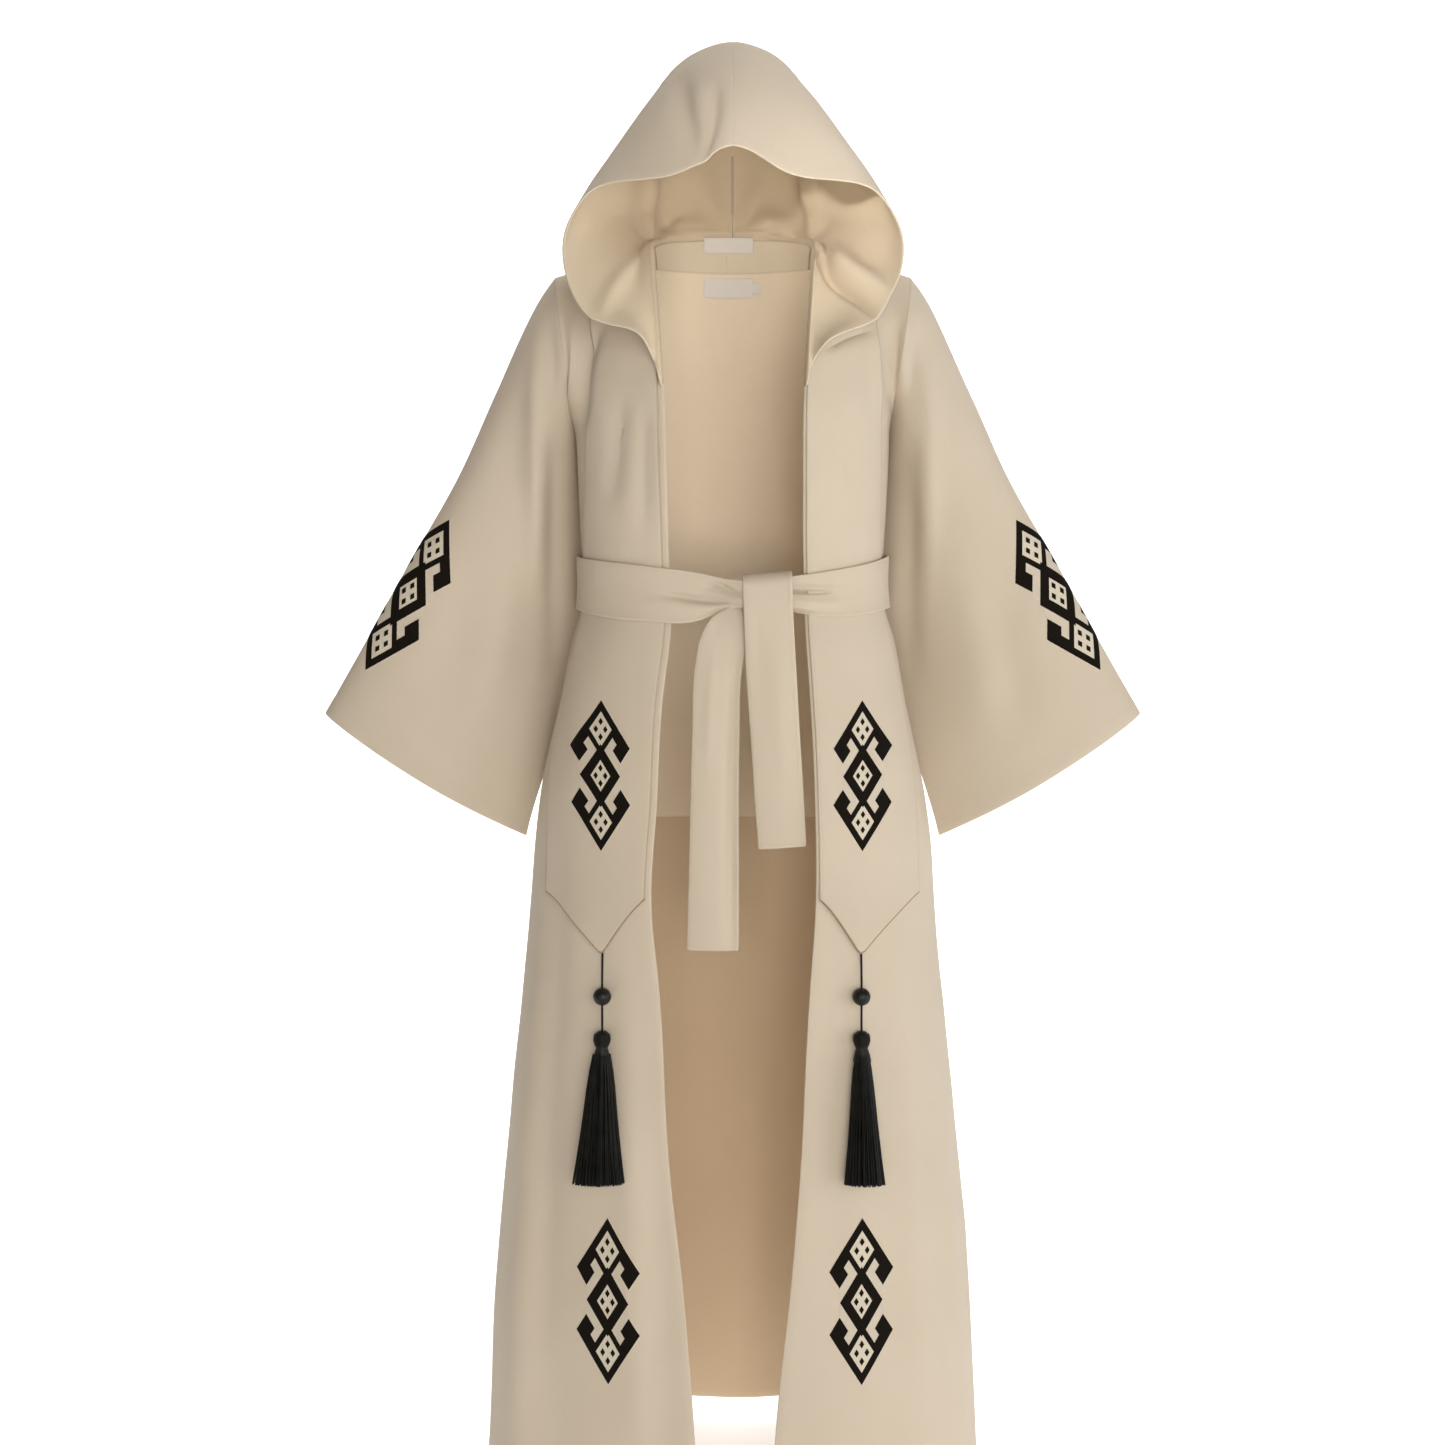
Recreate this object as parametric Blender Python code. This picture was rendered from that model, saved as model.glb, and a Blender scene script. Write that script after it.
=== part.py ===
"""A hooded kaftan, open at the front and tied with a sash, filled out as it is when worn.

Metres, +Z up. The front faces -Y and the side called left is -X. The origin is the middle of the neck,
level with the shoulders that carry the garment. Every cloth piece is a wall: a grid of points on a surface
that is worked out from the tables below, thickened to both sides. Pieces that meet at a seam share that
seam's points and its mitre, and stand SEAM_GAP apart.
"""

from collections import namedtuple
from math import pi

import bmesh
import bpy
import numpy as np
from mathutils import Matrix, Vector
from mathutils.kdtree import KDTree

# Cloth and gaps
CLOTH = 0.0018
THIN_CLOTH = 0.0012
LABEL_CLOTH = 0.0008
SASH = 0.0024
SEAM_GAP = 0.0003
LAYER_GAP = 0.0011
LEAST_MITRE = 0.4
MOST_DRAW = 5.0
SAME_PLACE = 1e-6
SHARP_FROM = 0.9

# Main sizes
HEM_Z = -1.420
UNDERARM_Z = -0.200
NECK_SHOULDER = np.array([0.092, 0.000, 0.010])
SHOULDER = np.array([0.205, 0.000, -0.025])
UNDERARM = np.array([0.181, 0.000, UNDERARM_Z])
NAPE_BACK = 0.100
NAPE_RISE = 0.019
ARMHOLE_FRONT = 0.060
ARMHOLE_BACK = 0.062
SQUARE = 0.03

# How the yoke turns down from the shoulder seam: the front's share of the way forward, then places over the
# back by its share, and the length of the straight above the chest.
FRONT_LEAD = 0.6
Yoke = namedtuple("Yoke", "share x y z")
YOKE = [
    Yoke(-0.17, -0.052, 0.110, -0.031),
    Yoke(0.00, 0.000, 0.120, -0.041),
    Yoke(0.17, 0.052, 0.110, -0.031),
    Yoke(0.34, 0.091, 0.083, -0.013),
    Yoke(0.60, 0.137, 0.049, -0.006),
    Yoke(1.00, 0.205, 0.000, -0.025),
]
CHEST_LEAD = np.array([0.000, 0.000, 0.080])

# The share of the back, from its middle to its side, that the neckline takes
NECK_SHARE = 1 / 3

# How finely each piece is divided
ARMHOLE_STEPS = 11
NECK_STEPS = 9
FRONT_COLUMNS = 8
BACK_NECK_COLUMNS = 5
BODY_ROWS = [-0.245, -0.300, -0.347, -0.383, -0.411, -0.443, -0.485, -0.530, -0.595, -0.668, -0.750, -0.840,
             -0.940, -1.050, -1.170, -1.295, HEM_Z]

# The body at each height: half its width, and how far the middles of its front and back lie from its sides.
Section = namedtuple("Section", "z half front back")
BODY = [
    Section(-0.200, 0.181, 0.134, 0.124),
    Section(-0.280, 0.178, 0.131, 0.112),
    Section(-0.350, 0.1745, 0.119, 0.102),
    Section(-0.383, 0.174, 0.115, 0.100),
    Section(-0.411, 0.177, 0.117, 0.103),
    Section(-0.443, 0.187, 0.125, 0.112),
    Section(-0.514, 0.201, 0.137, 0.127),
    Section(-0.620, 0.224, 0.151, 0.144),
    Section(-0.811, 0.242, 0.161, 0.162),
    Section(-0.991, 0.261, 0.167, 0.175),
    Section(-1.174, 0.279, 0.171, 0.185),
    Section(-1.420, 0.292, 0.173, 0.193),
]

# Where the fronts' opening edges lie, from the middle.
Edge = namedtuple("Edge", "z left right")
OPENING = [
    Edge(-0.200, 0.0775, 0.0790),
    Edge(-0.350, 0.0730, 0.0800),
    Edge(-0.411, 0.0705, 0.0815),
    Edge(-0.510, 0.0810, 0.0880),
    Edge(-0.620, 0.0870, 0.0930),
    Edge(-0.730, 0.0930, 0.0940),
    Edge(-0.830, 0.0840, 0.0870),
    Edge(-1.040, 0.0725, 0.0765),
    Edge(-1.170, 0.0580, 0.0660),
    Edge(-1.290, 0.0480, 0.0530),
    Edge(-1.420, 0.0400, 0.0440),
]

# Soft flutes of the skirt: the angle round the body from the middle of the front, then sizes and heights.
Flute = namedtuple("Flute", "angle width depth start full")
FLUTES = [
    Flute(-58, 11, 0.007, -0.75, -1.35),
    Flute(60, 12, 0.006, -0.80, -1.35),
    Flute(-41, 9, -0.004, -0.80, -1.30),
    Flute(43, 9, -0.004, -0.80, -1.30),
    Flute(-112, 12, 0.009, -0.50, -1.30),
    Flute(114, 11, 0.010, -0.55, -1.30),
    Flute(-134, 10, -0.008, -0.50, -1.25),
    Flute(137, 10, -0.007, -0.55, -1.30),
    Flute(-156, 12, 0.010, -0.47, -1.20),
    Flute(158, 11, 0.009, -0.50, -1.25),
    Flute(179, 9, -0.008, -0.47, -1.25),
]

# The over-panels: their outer edges from the middle, below the underarm. V corners and points follow.
Outer = namedtuple("Outer", "z left right")
OVER_PANEL = [
    Outer(-0.200, 0.1640, 0.1640),
    Outer(-0.350, 0.1680, 0.1670),
    Outer(-0.405, 0.1695, 0.1690),
    Outer(-0.443, 0.1800, 0.1790),
    Outer(-0.500, 0.1930, 0.1900),
    Outer(-0.607, 0.2090, 0.2060),
    Outer(-0.660, 0.2110, 0.2080),
    Outer(-0.730, 0.2120, 0.2090),
]
V_CORNER_Z = -0.728
V_FROM_Z = -0.668
V_STEPS = 3
V_HOLLOW = 1.25
V_POINT = {-1: -0.791, 1: -0.792}
V_POINT_X = {-1: 0.1480, 1: 0.1435}
OVER_PANEL_INSET = {-1: 0.0060, 1: 0.0030}
OVER_PANEL_FIRST_ROW = 5
OVER_PANEL_COLUMNS = 6

# The sleeve, from the armhole to the cuff. The fold along its top is a place; the fold under it follows the
# body's side, at this angle round the body and this far out from it.
Sleeve = namedtuple("Sleeve", "along top_x top_y top_z under_z under_angle under_clear front back")
SLEEVE = [
    Sleeve(0.00, 0.2050, 0.000, -0.025, -0.200, 90, 0.0000, 0.060, 0.062),
    Sleeve(0.07, 0.2215, 0.000, -0.048, -0.228, 95, 0.0035, 0.063, 0.064),
    Sleeve(0.25, 0.2720, -0.002, -0.153, -0.300, 107, 0.0090, 0.062, 0.062),
    Sleeve(0.45, 0.3200, -0.004, -0.257, -0.382, 115, 0.0110, 0.056, 0.056),
    Sleeve(0.65, 0.3760, -0.007, -0.354, -0.470, 114, 0.0110, 0.049, 0.050),
    Sleeve(0.85, 0.4330, -0.010, -0.455, -0.585, 103, 0.0110, 0.042, 0.045),
    Sleeve(1.00, 0.4750, -0.012, -0.528, -0.674, 94, 0.0150, 0.038, 0.042),
]
SLEEVE_ROWS = 13
CUFF_BOW = 0.015

# The hood as hoops, from the rim (back 0) to the nape (back 1), each given by six places above its foot.
Hoop = namedtuple("Hoop", "back ledge corner side temple brow top")
HOOD = [
    Hoop(0.00, (0.102, -0.137, -0.0990), (0.160, -0.121, -0.077), (0.1870, -0.096, 0.021),
         (0.164, -0.092, 0.060), (0.062, -0.104, 0.083), (0, -0.110, 0.112)),
    Hoop(0.14, (0.110, -0.109, -0.071), (0.148, -0.100, -0.052), (0.180, -0.068, 0.021),
         (0.159, -0.056, 0.080), (0.081, -0.054, 0.148), (0, -0.060, 0.178)),
    Hoop(0.32, (0.105, -0.070, -0.024), (0.128, -0.060, -0.008), (0.160, -0.034, 0.030),
         (0.144, -0.014, 0.098), (0.086, -0.004, 0.194), (0, -0.008, 0.2275)),
    Hoop(0.52, (0.102, -0.012, 0.011), (0.113, -0.002, 0.021), (0.129, 0.016, 0.046),
         (0.120, 0.034, 0.104), (0.079, 0.044, 0.2065), (0, 0.040, 0.2463)),
    Hoop(0.70, (0.093, 0.034, 0.020), (0.098, 0.044, 0.029), (0.103, 0.062, 0.052),
         (0.097, 0.078, 0.102), (0.061, 0.092, 0.167), (0, 0.096, 0.199)),
    Hoop(0.86, (0.060, 0.085, 0.0345), (0.063, 0.091, 0.042), (0.067, 0.100, 0.058),
         (0.061, 0.109, 0.083), (0.037, 0.118, 0.115), (0, 0.122, 0.129)),
    Hoop(1.00, (0, 0.100, 0.037), (0, 0.101, 0.040), (0, 0.102, 0.043),
         (0, 0.103, 0.046), (0, 0.104, 0.049), (0, 0.105, 0.052)),
]
HOOD_COLUMNS = 13

# How far the rim hangs lower above its foot on each side, and how far back that is felt.
LEDGE_DROP = {-1: 0.000, 1: 0.008}
LEDGE_DROP_BACK = 0.30

# Two lines where the hood turns over above its foot: their share of the front, and how far up and out
# they lie.
Collar = namedtuple("Collar", "share up lift")
COLLAR = [
    Collar(0.00, 0.00, 0.0068),
    Collar(0.03, 0.09, 0.0110),
]
COLLAR_PLACES = 1 + len(COLLAR)
COLLAR_LEAST = 0.45
COLLAR_FULL_DOWN = 0.4
COLLAR_LEAST_DOWN = 0.02
Stop = namedtuple("Stop", "at place")
HOOD_MIDDLE = (0, 0.000, 0.060)

# The sash: its edges' heights by the angle round the body from the knot.
Sash = namedtuple("Sash", "angle top bottom")
BELT = [
    Sash(-180, -0.350, -0.408),
    Sash(-75, -0.347, -0.406),
    Sash(-30, -0.355, -0.415),
    Sash(-12, -0.362, -0.415),
    Sash(0, -0.370, -0.400),
    Sash(12, -0.369, -0.401),
    Sash(25, -0.364, -0.408),
    Sash(75, -0.347, -0.404),
    Sash(180, -0.350, -0.408),
]
BELT_START = -1.6
BELT_END = 351.4
BELT_ROWS = 5
BELT_OVER_FRONT = 0.0068
BELT_OVER_BACK = 0.0040
BELT_BACK_FROM = 80.0
BELT_BACK_FULL = 105.0
KNOT_FOLDS = 3
KNOT_FOLDS_REACH = 16.0

# The knot, as turned sections from its left to its right: how far out, forward and up each reaches.
Ring = namedtuple("Ring", "x forward up")
KNOT = [
    Ring(-0.0105, 0.0045, 0.0110),
    Ring(-0.0065, 0.0080, 0.0165),
    Ring(0.0000, 0.0102, 0.0185),
    Ring(0.0070, 0.0086, 0.0170),
    Ring(0.0120, 0.0050, 0.0120),
]
KNOT_AT = (0.0172, -0.1250, -0.3880)
KNOT_SIDES = 14
KNOT_FOLD = 0.0012
KNOT_RIDGE = 0.07

# The sash's two ends: each row is the middle of a cross line, and its width.
Tail = namedtuple("Tail", "x y z width")
TAIL_SHORT = [
    Tail(0.0380, -0.1060, -0.3800, 0.052),
    Tail(0.0380, -0.1075, -0.3680, 0.052),
    Tail(0.0380, -0.1130, -0.3612, 0.053),
    Tail(0.0380, -0.1290, -0.3608, 0.053),
    Tail(0.0382, -0.1358, -0.3670, 0.053),
    Tail(0.0385, -0.1376, -0.3800, 0.053),
    Tail(0.0400, -0.1378, -0.4200, 0.053),
    Tail(0.0425, -0.1372, -0.4700, 0.054),
    Tail(0.0470, -0.1365, -0.5400, 0.053),
    Tail(0.0515, -0.1365, -0.6100, 0.053),
    Tail(0.0555, -0.1370, -0.6690, 0.052),
]
TAIL_LONG = [
    Tail(0.0135, -0.1256, -0.4080, 0.016),
    Tail(0.0060, -0.1275, -0.4170, 0.026),
    Tail(-0.0030, -0.1290, -0.4280, 0.037),
    Tail(-0.0110, -0.1298, -0.4430, 0.045),
    Tail(-0.0160, -0.1300, -0.4650, 0.049),
    Tail(-0.0190, -0.1300, -0.5400, 0.052),
    Tail(-0.0205, -0.1305, -0.6100, 0.053),
    Tail(-0.0215, -0.1310, -0.7000, 0.055),
    Tail(-0.0230, -0.1315, -0.7870, 0.057),
]
TAIL_COLUMNS = 4
TAIL_CUP = 0.0030
TAIL_CUP_WIDTH = 0.05
TAIL_CUP_DROP = 0.10

# Linings and labels inside the back
FACING_ROWS = 2
LINING_END_Z = -0.668
LINING_REACH = 0.80
FACING_START = 0.016
LINING_GAP = 0.0006
HOOD_LABEL = (0.060, 0.0175, 0.0310)
NECK_LABEL = (0.060, 0.0225, -0.0165)
LABEL_X = -0.0050
LABEL_GAP = {"hood_label": 0.0024, "neck_label": 0.0021}
LABEL_ROWS = 3
LABEL_COLUMNS = 4
LABEL_LEAST_DOWN = 0.01
SEARCH_STEPS = 200

# The trimming at each point
CORD_RADIUS = 0.0014
BEAD_RADIUS = 0.0100
BEAD_Z = -0.837
HEAD_Z = -0.876
TASSEL_END_Z = -1.048
Trim = namedtuple("Trim", "z clear sideways")
TRIM = [
    Trim(-0.791, 0.0034, 0.000),
    Trim(-0.800, 0.0062, 0.000),
    Trim(-0.817, 0.0115, 0.000),
    Trim(-0.837, 0.0128, 0.000),
    Trim(-0.876, 0.0128, 0.000),
    Trim(-0.910, 0.0135, 0.001),
    Trim(-1.048, 0.0200, 0.004),
]
Turned = namedtuple("Turned", "radius z")
HEAD_PROFILE = [
    Turned(0.0050, 0.000),
    Turned(0.0088, -0.004),
    Turned(0.0095, -0.010),
    Turned(0.0080, -0.015),
    Turned(0.0068, -0.019),
    Turned(0.0090, -0.026),
    Turned(0.0105, -0.034),
]
STRAND_RINGS = 3
STRANDS_ROUND = 14
STRAND_INSET = 0.00045
CELL_CORE = 2.0
Stage = namedtuple("Stage", "drop spread widen uneven")
STRAND_STAGES = [Stage(0.35, 0.55, 1.20, 0.0), Stage(1.00, 1.00, 1.10, 0.012)]
SKIRT_HALF_WIDTH = 0.0300
SKIRT_HALF_DEPTH = 0.0150

# Colours of the cloth and trimmings (linear RGB)
CREAM = (0.62, 0.50, 0.36)
CREAM_INSIDE = (0.55, 0.43, 0.30)
LABEL_GREY = (0.62, 0.61, 0.60)
BLACK = (0.008, 0.009, 0.007)


def smooth(rows, key, value, at):
    """One column of a table as a smooth curve through another, read at the places given."""
    rows = sorted(rows, key=lambda row: getattr(row, key))
    xs = np.array([getattr(row, key) for row in rows], float)
    ys = np.array([getattr(row, value) for row in rows], float)
    slopes = np.gradient(ys, xs, axis=0)
    at = np.clip(np.asarray(at, float), xs[0], xs[-1])
    i = np.clip(np.searchsorted(xs, at) - 1, 0, len(xs) - 2)
    step = xs[i + 1] - xs[i]
    t = (at - xs[i]) / step
    if ys.ndim > 1:
        step = step[..., None]
        t = t[..., None]
    rise = (2 * t**3 - 3 * t**2 + 1) * ys[i] + (3 * t**2 - 2 * t**3) * ys[i + 1]
    return rise + step * ((t**3 - 2 * t**2 + t) * slopes[i] + (t**3 - t**2) * slopes[i + 1])


def ease(t):
    t = np.clip(t, 0, 1)
    return t * t * (3 - 2 * t)


def bezier(a, b, c, d, t):
    t = np.asarray(t)[..., None]
    return a * (1 - t) ** 3 + 3 * b * t * (1 - t) ** 2 + 3 * c * t**2 * (1 - t) + d * t**3


def points(x, y, z):
    return np.stack(np.broadcast_arrays(x, y, z), axis=-1).astype(float)


def across(angle):
    """How far out a rounded section reaches at an angle from the middle of the front, from 0 to 1."""
    return (np.sin(angle) + SQUARE * np.sin(3 * angle)) / (1 - SQUARE)


def forward(angle):
    """How far forward the same section reaches, from 1 at the front to -1 at the back."""
    return (np.cos(angle) - SQUARE * np.cos(3 * angle)) / (1 - SQUARE)


def angle_at(share):
    """The angle in the front quarter whose section reaches out by this share of the half width."""
    angles = np.linspace(0, pi / 2, 400)
    return np.interp(share, across(angles), angles)


def body(z, angle, clear=0.0):
    """A point of the body's surface, moved out by clear. Angles over 90 degrees lie on the back."""
    half = smooth(BODY, "z", "half", z)
    front = smooth(BODY, "z", "front", z)
    back = smooth(BODY, "z", "back", z)
    depth = np.where(np.abs(angle) <= pi / 2, front, back)
    flute = np.zeros(np.broadcast(z, angle).shape)
    for row in FLUTES:
        off = (np.degrees(angle) - row.angle + 180) % 360 - 180
        ramp = ease((np.asarray(z) - row.start) / (row.full - row.start))
        flute = flute + row.depth * ramp * np.exp(-((off / row.width) ** 2))
    out = flute + clear
    turn = np.stack(np.broadcast_arrays(across(angle) * depth, -forward(angle) * half), axis=-1)
    turn = turn / np.linalg.norm(turn, axis=-1, keepdims=True)
    x = half * across(angle) + out * turn[..., 0]
    y = -depth * forward(angle) + out * turn[..., 1]
    return points(x, y, z)


def mirrored(side, made):
    return made * np.array([side, 1, 1])


def armhole(side, turn, front):
    """The armhole from the shoulder (turn 0) down to the underarm (turn 1), on its front or back edge."""
    angle = pi * (1 - turn)
    rise = np.where(angle < pi / 2, angle / pi, 0.5 + 0.5 * np.sin(angle - pi / 2))
    made = UNDERARM + (SHOULDER - UNDERARM) * rise[..., None]
    depth = -ARMHOLE_FRONT if front else ARMHOLE_BACK
    return mirrored(side, made + points(0, depth * np.sin(angle), 0))


def upper(side, down, share, top, chest, lead, front):
    """The yoke: a curve from each point of the top edge to the chest, eased to meet the armhole."""
    made = bezier(top, top + lead, chest + CHEST_LEAD, chest, down)
    last = share[..., None] ** 3
    at_side = bezier(SHOULDER, SHOULDER, UNDERARM + CHEST_LEAD, UNDERARM, down)
    return mirrored(side, made) + last * (armhole(side, down, front) - mirrored(side, at_side))


def front_surface(side, down, share):
    """A front. Down is 0 at the shoulder, 1 at the underarm and 2 at the hem, share 0 at the opening."""
    name = "left" if side < 0 else "right"
    z = np.where(down > 1, UNDERARM_Z + (HEM_Z - UNDERARM_Z) * (down - 1), UNDERARM_Z)
    half = smooth(BODY, "z", "half", z)
    first = angle_at(smooth(OPENING, "z", name, z) / half)
    angle = first + (pi / 2 - first) * share
    low = body(z, side * angle)
    chest = mirrored(side, body(UNDERARM_Z, side * angle))
    top = NECK_SHOULDER + (SHOULDER - NECK_SHOULDER) * share[..., None]
    lead = points(0, FRONT_LEAD * (chest[..., 1] - top[..., 1]), 0)
    high = upper(side, np.clip(down, 0, 1), share, top, chest, lead, True)
    return np.where((down > 1)[..., None], low, high)


def neckline(turn):
    """The back neck from the nape (turn 0) to the shoulder seam (turn 1)."""
    angle = pi - turn * pi / 2
    return points(NECK_SHOULDER[0] * across(angle), -NAPE_BACK * forward(angle),
                  NECK_SHOULDER[2] - NAPE_RISE * forward(angle))


def back_surface(down, share):
    """The back: share is 0 in the middle, -1 and 1 at the sides, and the neckline ends at NECK_SHARE."""
    side = np.where(share < 0, -1.0, 1.0)
    reach = np.abs(share)
    z = np.where(down > 1, UNDERARM_Z + (HEM_Z - UNDERARM_Z) * (down - 1), UNDERARM_Z)
    angle = pi - reach * pi / 2
    low = body(z, side * angle)
    chest = body(UNDERARM_Z, angle)
    on_neck = reach <= NECK_SHARE
    seam = (reach - NECK_SHARE) / (1 - NECK_SHARE)
    top = np.where(on_neck[..., None], neckline(np.clip(reach / NECK_SHARE, 0, 1)),
                   NECK_SHOULDER + (SHOULDER - NECK_SHOULDER) * seam[..., None])
    sides = points(side, 1, 1)
    down_here = np.clip(down, 0, 1)
    over = points(*(smooth(YOKE, "share", name, reach) for name in ("x", "y", "z")))
    made = bezier(top, over, chest + CHEST_LEAD, chest, down_here)
    at_side = bezier(SHOULDER, SHOULDER, UNDERARM + CHEST_LEAD, UNDERARM, down_here)
    edge = armhole(1, down_here, False) - at_side
    high = sides * (made + edge * reach[..., None] ** 3)
    return np.where((down > 1)[..., None], low, high)


def down_at(z):
    return 1 + (z - UNDERARM_Z) / (HEM_Z - UNDERARM_Z)


def body_rows():
    return np.concatenate([np.arange(ARMHOLE_STEPS + 1) / ARMHOLE_STEPS, [down_at(z) for z in BODY_ROWS]])


def back_shares():
    neck = np.linspace(0, NECK_SHARE, BACK_NECK_COLUMNS + 1)
    seam = np.linspace(NECK_SHARE, 1, FRONT_COLUMNS + 1)[1:]
    half = np.concatenate([neck, seam])
    return np.concatenate([-half[:0:-1], half])


def moved(surface, first, second, out):
    """Points of a surface moved out along its own normals."""
    step = 1e-4
    along = surface(first + step, second) - surface(first - step, second)
    beside = surface(first, second + step) - surface(first, second - step)
    normal = np.cross(along, beside)
    normal /= np.linalg.norm(normal, axis=-1, keepdims=True)
    base = surface(first, second)
    inward = base * np.array([1, 1, 0]) * normal
    facing = np.where(inward.sum(axis=-1, keepdims=True) < 0, -1.0, 1.0)
    return base + normal * facing * np.asarray(out)[..., None]


# Walls

panels = []


def panel(name, grid, thickness=CLOTH, ring=False, tip=False, colour=CREAM, sewn=True, inside=(0, 0, None)):
    """Keeps a piece's grid until every piece is known, so that seams can share their mitre. Its normals
    point away from the place inside, whose height is each point's own unless it is given."""
    along = np.gradient(grid, axis=0)
    if ring:
        beside = np.roll(grid, -1, axis=1) - np.roll(grid, 1, axis=1)
    else:
        beside = np.gradient(grid, axis=1)
    if tip:
        along[-1] = along[-2]
        beside[-1] = beside[-2]
    normal = np.cross(along, beside)
    normal /= np.linalg.norm(normal, axis=-1, keepdims=True)
    x, y, z = inside
    centre = grid.mean(axis=1, keepdims=True) if ring else points(x, y, grid[..., 2] if z is None else z)
    if ((grid - centre) * normal).sum() < 0:
        normal = -normal
    panels.append(dict(name=name, grid=grid.copy(), normal=normal, thickness=thickness, ring=ring, tip=tip,
                       colour=colour, sewn=sewn))


def rim_places(made):
    rows, columns = made["grid"].shape[:2]
    places = [(i, j) for i in (0, rows - 1) for j in range(columns)]
    if not made["ring"]:
        places += [(i, j) for i in range(1, rows - 1) for j in (0, columns - 1)]
    return places


def sew():
    """Gives the points that pieces share one mitred normal, and draws each piece back from the seam."""
    rims = [(made, place) for made in panels if made["sewn"] for place in rim_places(made)]
    tree = KDTree(len(rims))
    for index, (made, place) in enumerate(rims):
        tree.insert(made["grid"][place], index)
    tree.balance()
    changes = []
    for made, place in rims:
        near = [rims[index] for _, index, _ in tree.find_range(made["grid"][place], SAME_PLACE)]
        if len({id(other) for other, _ in near}) < 2:
            continue
        total = sum(other["normal"][spot] for other, spot in near)
        width = np.linalg.norm(total)
        mitre = total * len(near) / max(width, LEAST_MITRE * len(near)) ** 2
        draw = 0.5 * SEAM_GAP * min(len(near) / width, MOST_DRAW)
        rows, columns = made["grid"].shape[:2]
        i, j = place
        shift = np.zeros(3)
        steps = []
        if i in (0, rows - 1):
            steps.append((1 if i == 0 else rows - 2, j))
        if j in (0, columns - 1) and not made["ring"]:
            steps.append((i, 1 if j == 0 else columns - 2))
        for spot in steps:
            inward = made["grid"][spot] - made["grid"][place]
            length = np.linalg.norm(inward)
            if length > SAME_PLACE:
                shift += inward / length * draw
        changes.append((made, place, mitre, shift))
    for made, place, mitre, shift in changes:
        made["normal"][place] = mitre
        made["grid"][place] += shift


def wall_mesh(made):
    """A closed wall: the grid moved half its thickness to each side, and a rim that joins them."""
    grid, normal = made["grid"], made["normal"] * made["thickness"] / 2
    if made["tip"]:
        grid[-1] = grid[-1].mean(axis=0)
        normal[-1] = normal[-1].mean(axis=0)
    rows, columns = grid.shape[:2]
    work = bmesh.new()
    layers = [[[work.verts.new(p) for p in row] for row in grid + sign * normal] for sign in (1, -1)]
    last = columns if made["ring"] else columns - 1
    for layer in layers:
        for i in range(rows - 1):
            for j in range(last):
                k = (j + 1) % columns
                work.faces.new((layer[i][j], layer[i][k], layer[i + 1][k], layer[i + 1][j]))
    top, low = layers
    for i in (0, rows - 1):
        for j in range(last):
            k = (j + 1) % columns
            work.faces.new((top[i][j], top[i][k], low[i][k], low[i][j]))
    if not made["ring"]:
        for j in (0, columns - 1):
            for i in range(rows - 1):
                work.faces.new((top[i][j], top[i + 1][j], low[i + 1][j], low[i][j]))
    if made["tip"]:
        bmesh.ops.remove_doubles(work, verts=work.verts, dist=SAME_PLACE)
    bmesh.ops.recalc_face_normals(work, faces=work.faces)
    return work


def finish_piece(name, work, colour, roughness=0.8):
    mesh = bpy.data.meshes.new(name)
    work.to_mesh(mesh)
    work.free()
    mesh.shade_smooth()
    mesh.set_sharp_from_angle(angle=SHARP_FROM)
    piece = bpy.data.objects.new(name, mesh)
    kaftan.objects.link(piece)
    mesh.materials.append(finish(name, colour, roughness))
    return piece


def finish(name, colour, roughness):
    material = bpy.data.materials.new(name)
    material.use_nodes = True
    shader = material.node_tree.nodes["Principled BSDF"]
    shader.inputs["Base Color"].default_value = (*colour, 1)
    shader.inputs["Roughness"].default_value = roughness
    shader.inputs["Metallic"].default_value = 0.0
    return material


# Cloth pieces

def make_fronts():
    down, share = np.meshgrid(body_rows(), np.linspace(0, 1, FRONT_COLUMNS + 1), indexing="ij")
    for side, name in ((-1, "front_left"), (1, "front_right")):
        panel(name, front_surface(side, down, share))


def make_back():
    down, share = np.meshgrid(body_rows(), back_shares(), indexing="ij")
    panel("back", back_surface(down, share))


def sleeve_point(side, along, turn):
    """The sleeve: along is 0 at the armhole and 1 at the cuff; turn goes from the shoulder down the front
    (0 to 1) and up the back (1 to 2)."""
    top = points(*(smooth(SLEEVE, "along", name, along) for name in ("top_x", "top_y", "top_z")))
    low_z = smooth(SLEEVE, "along", "under_z", along)
    low_angle = np.radians(smooth(SLEEVE, "along", "under_angle", along))
    low = body(low_z, low_angle, smooth(SLEEVE, "along", "under_clear", along))
    angle = pi * (1 - np.where(turn > 1, 2 - turn, turn))
    rise = np.where(angle < pi / 2, angle / pi, 0.5 + 0.5 * np.sin(angle - pi / 2))
    front = -smooth(SLEEVE, "along", "front", along)
    depth = np.where(turn > 1, smooth(SLEEVE, "along", "back", along), front)
    slope = top - low
    away = points(slope[..., 2], 0, -slope[..., 0])
    away /= np.linalg.norm(away, axis=-1, keepdims=True)
    bow = CUFF_BOW * along**3 * 4 * rise * (1 - rise)
    made = low + slope * rise[..., None] + points(0, depth * np.sin(angle), 0) + away * bow[..., None]
    return mirrored(side, made)


def make_sleeves():
    turns = np.arange(2 * ARMHOLE_STEPS) / ARMHOLE_STEPS
    along, turn = np.meshgrid(np.linspace(0, 1, SLEEVE_ROWS), turns, indexing="ij")
    for side, name in ((-1, "sleeve_left"), (1, "sleeve_right")):
        panel(name, sleeve_point(side, along, turn), ring=True)


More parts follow.
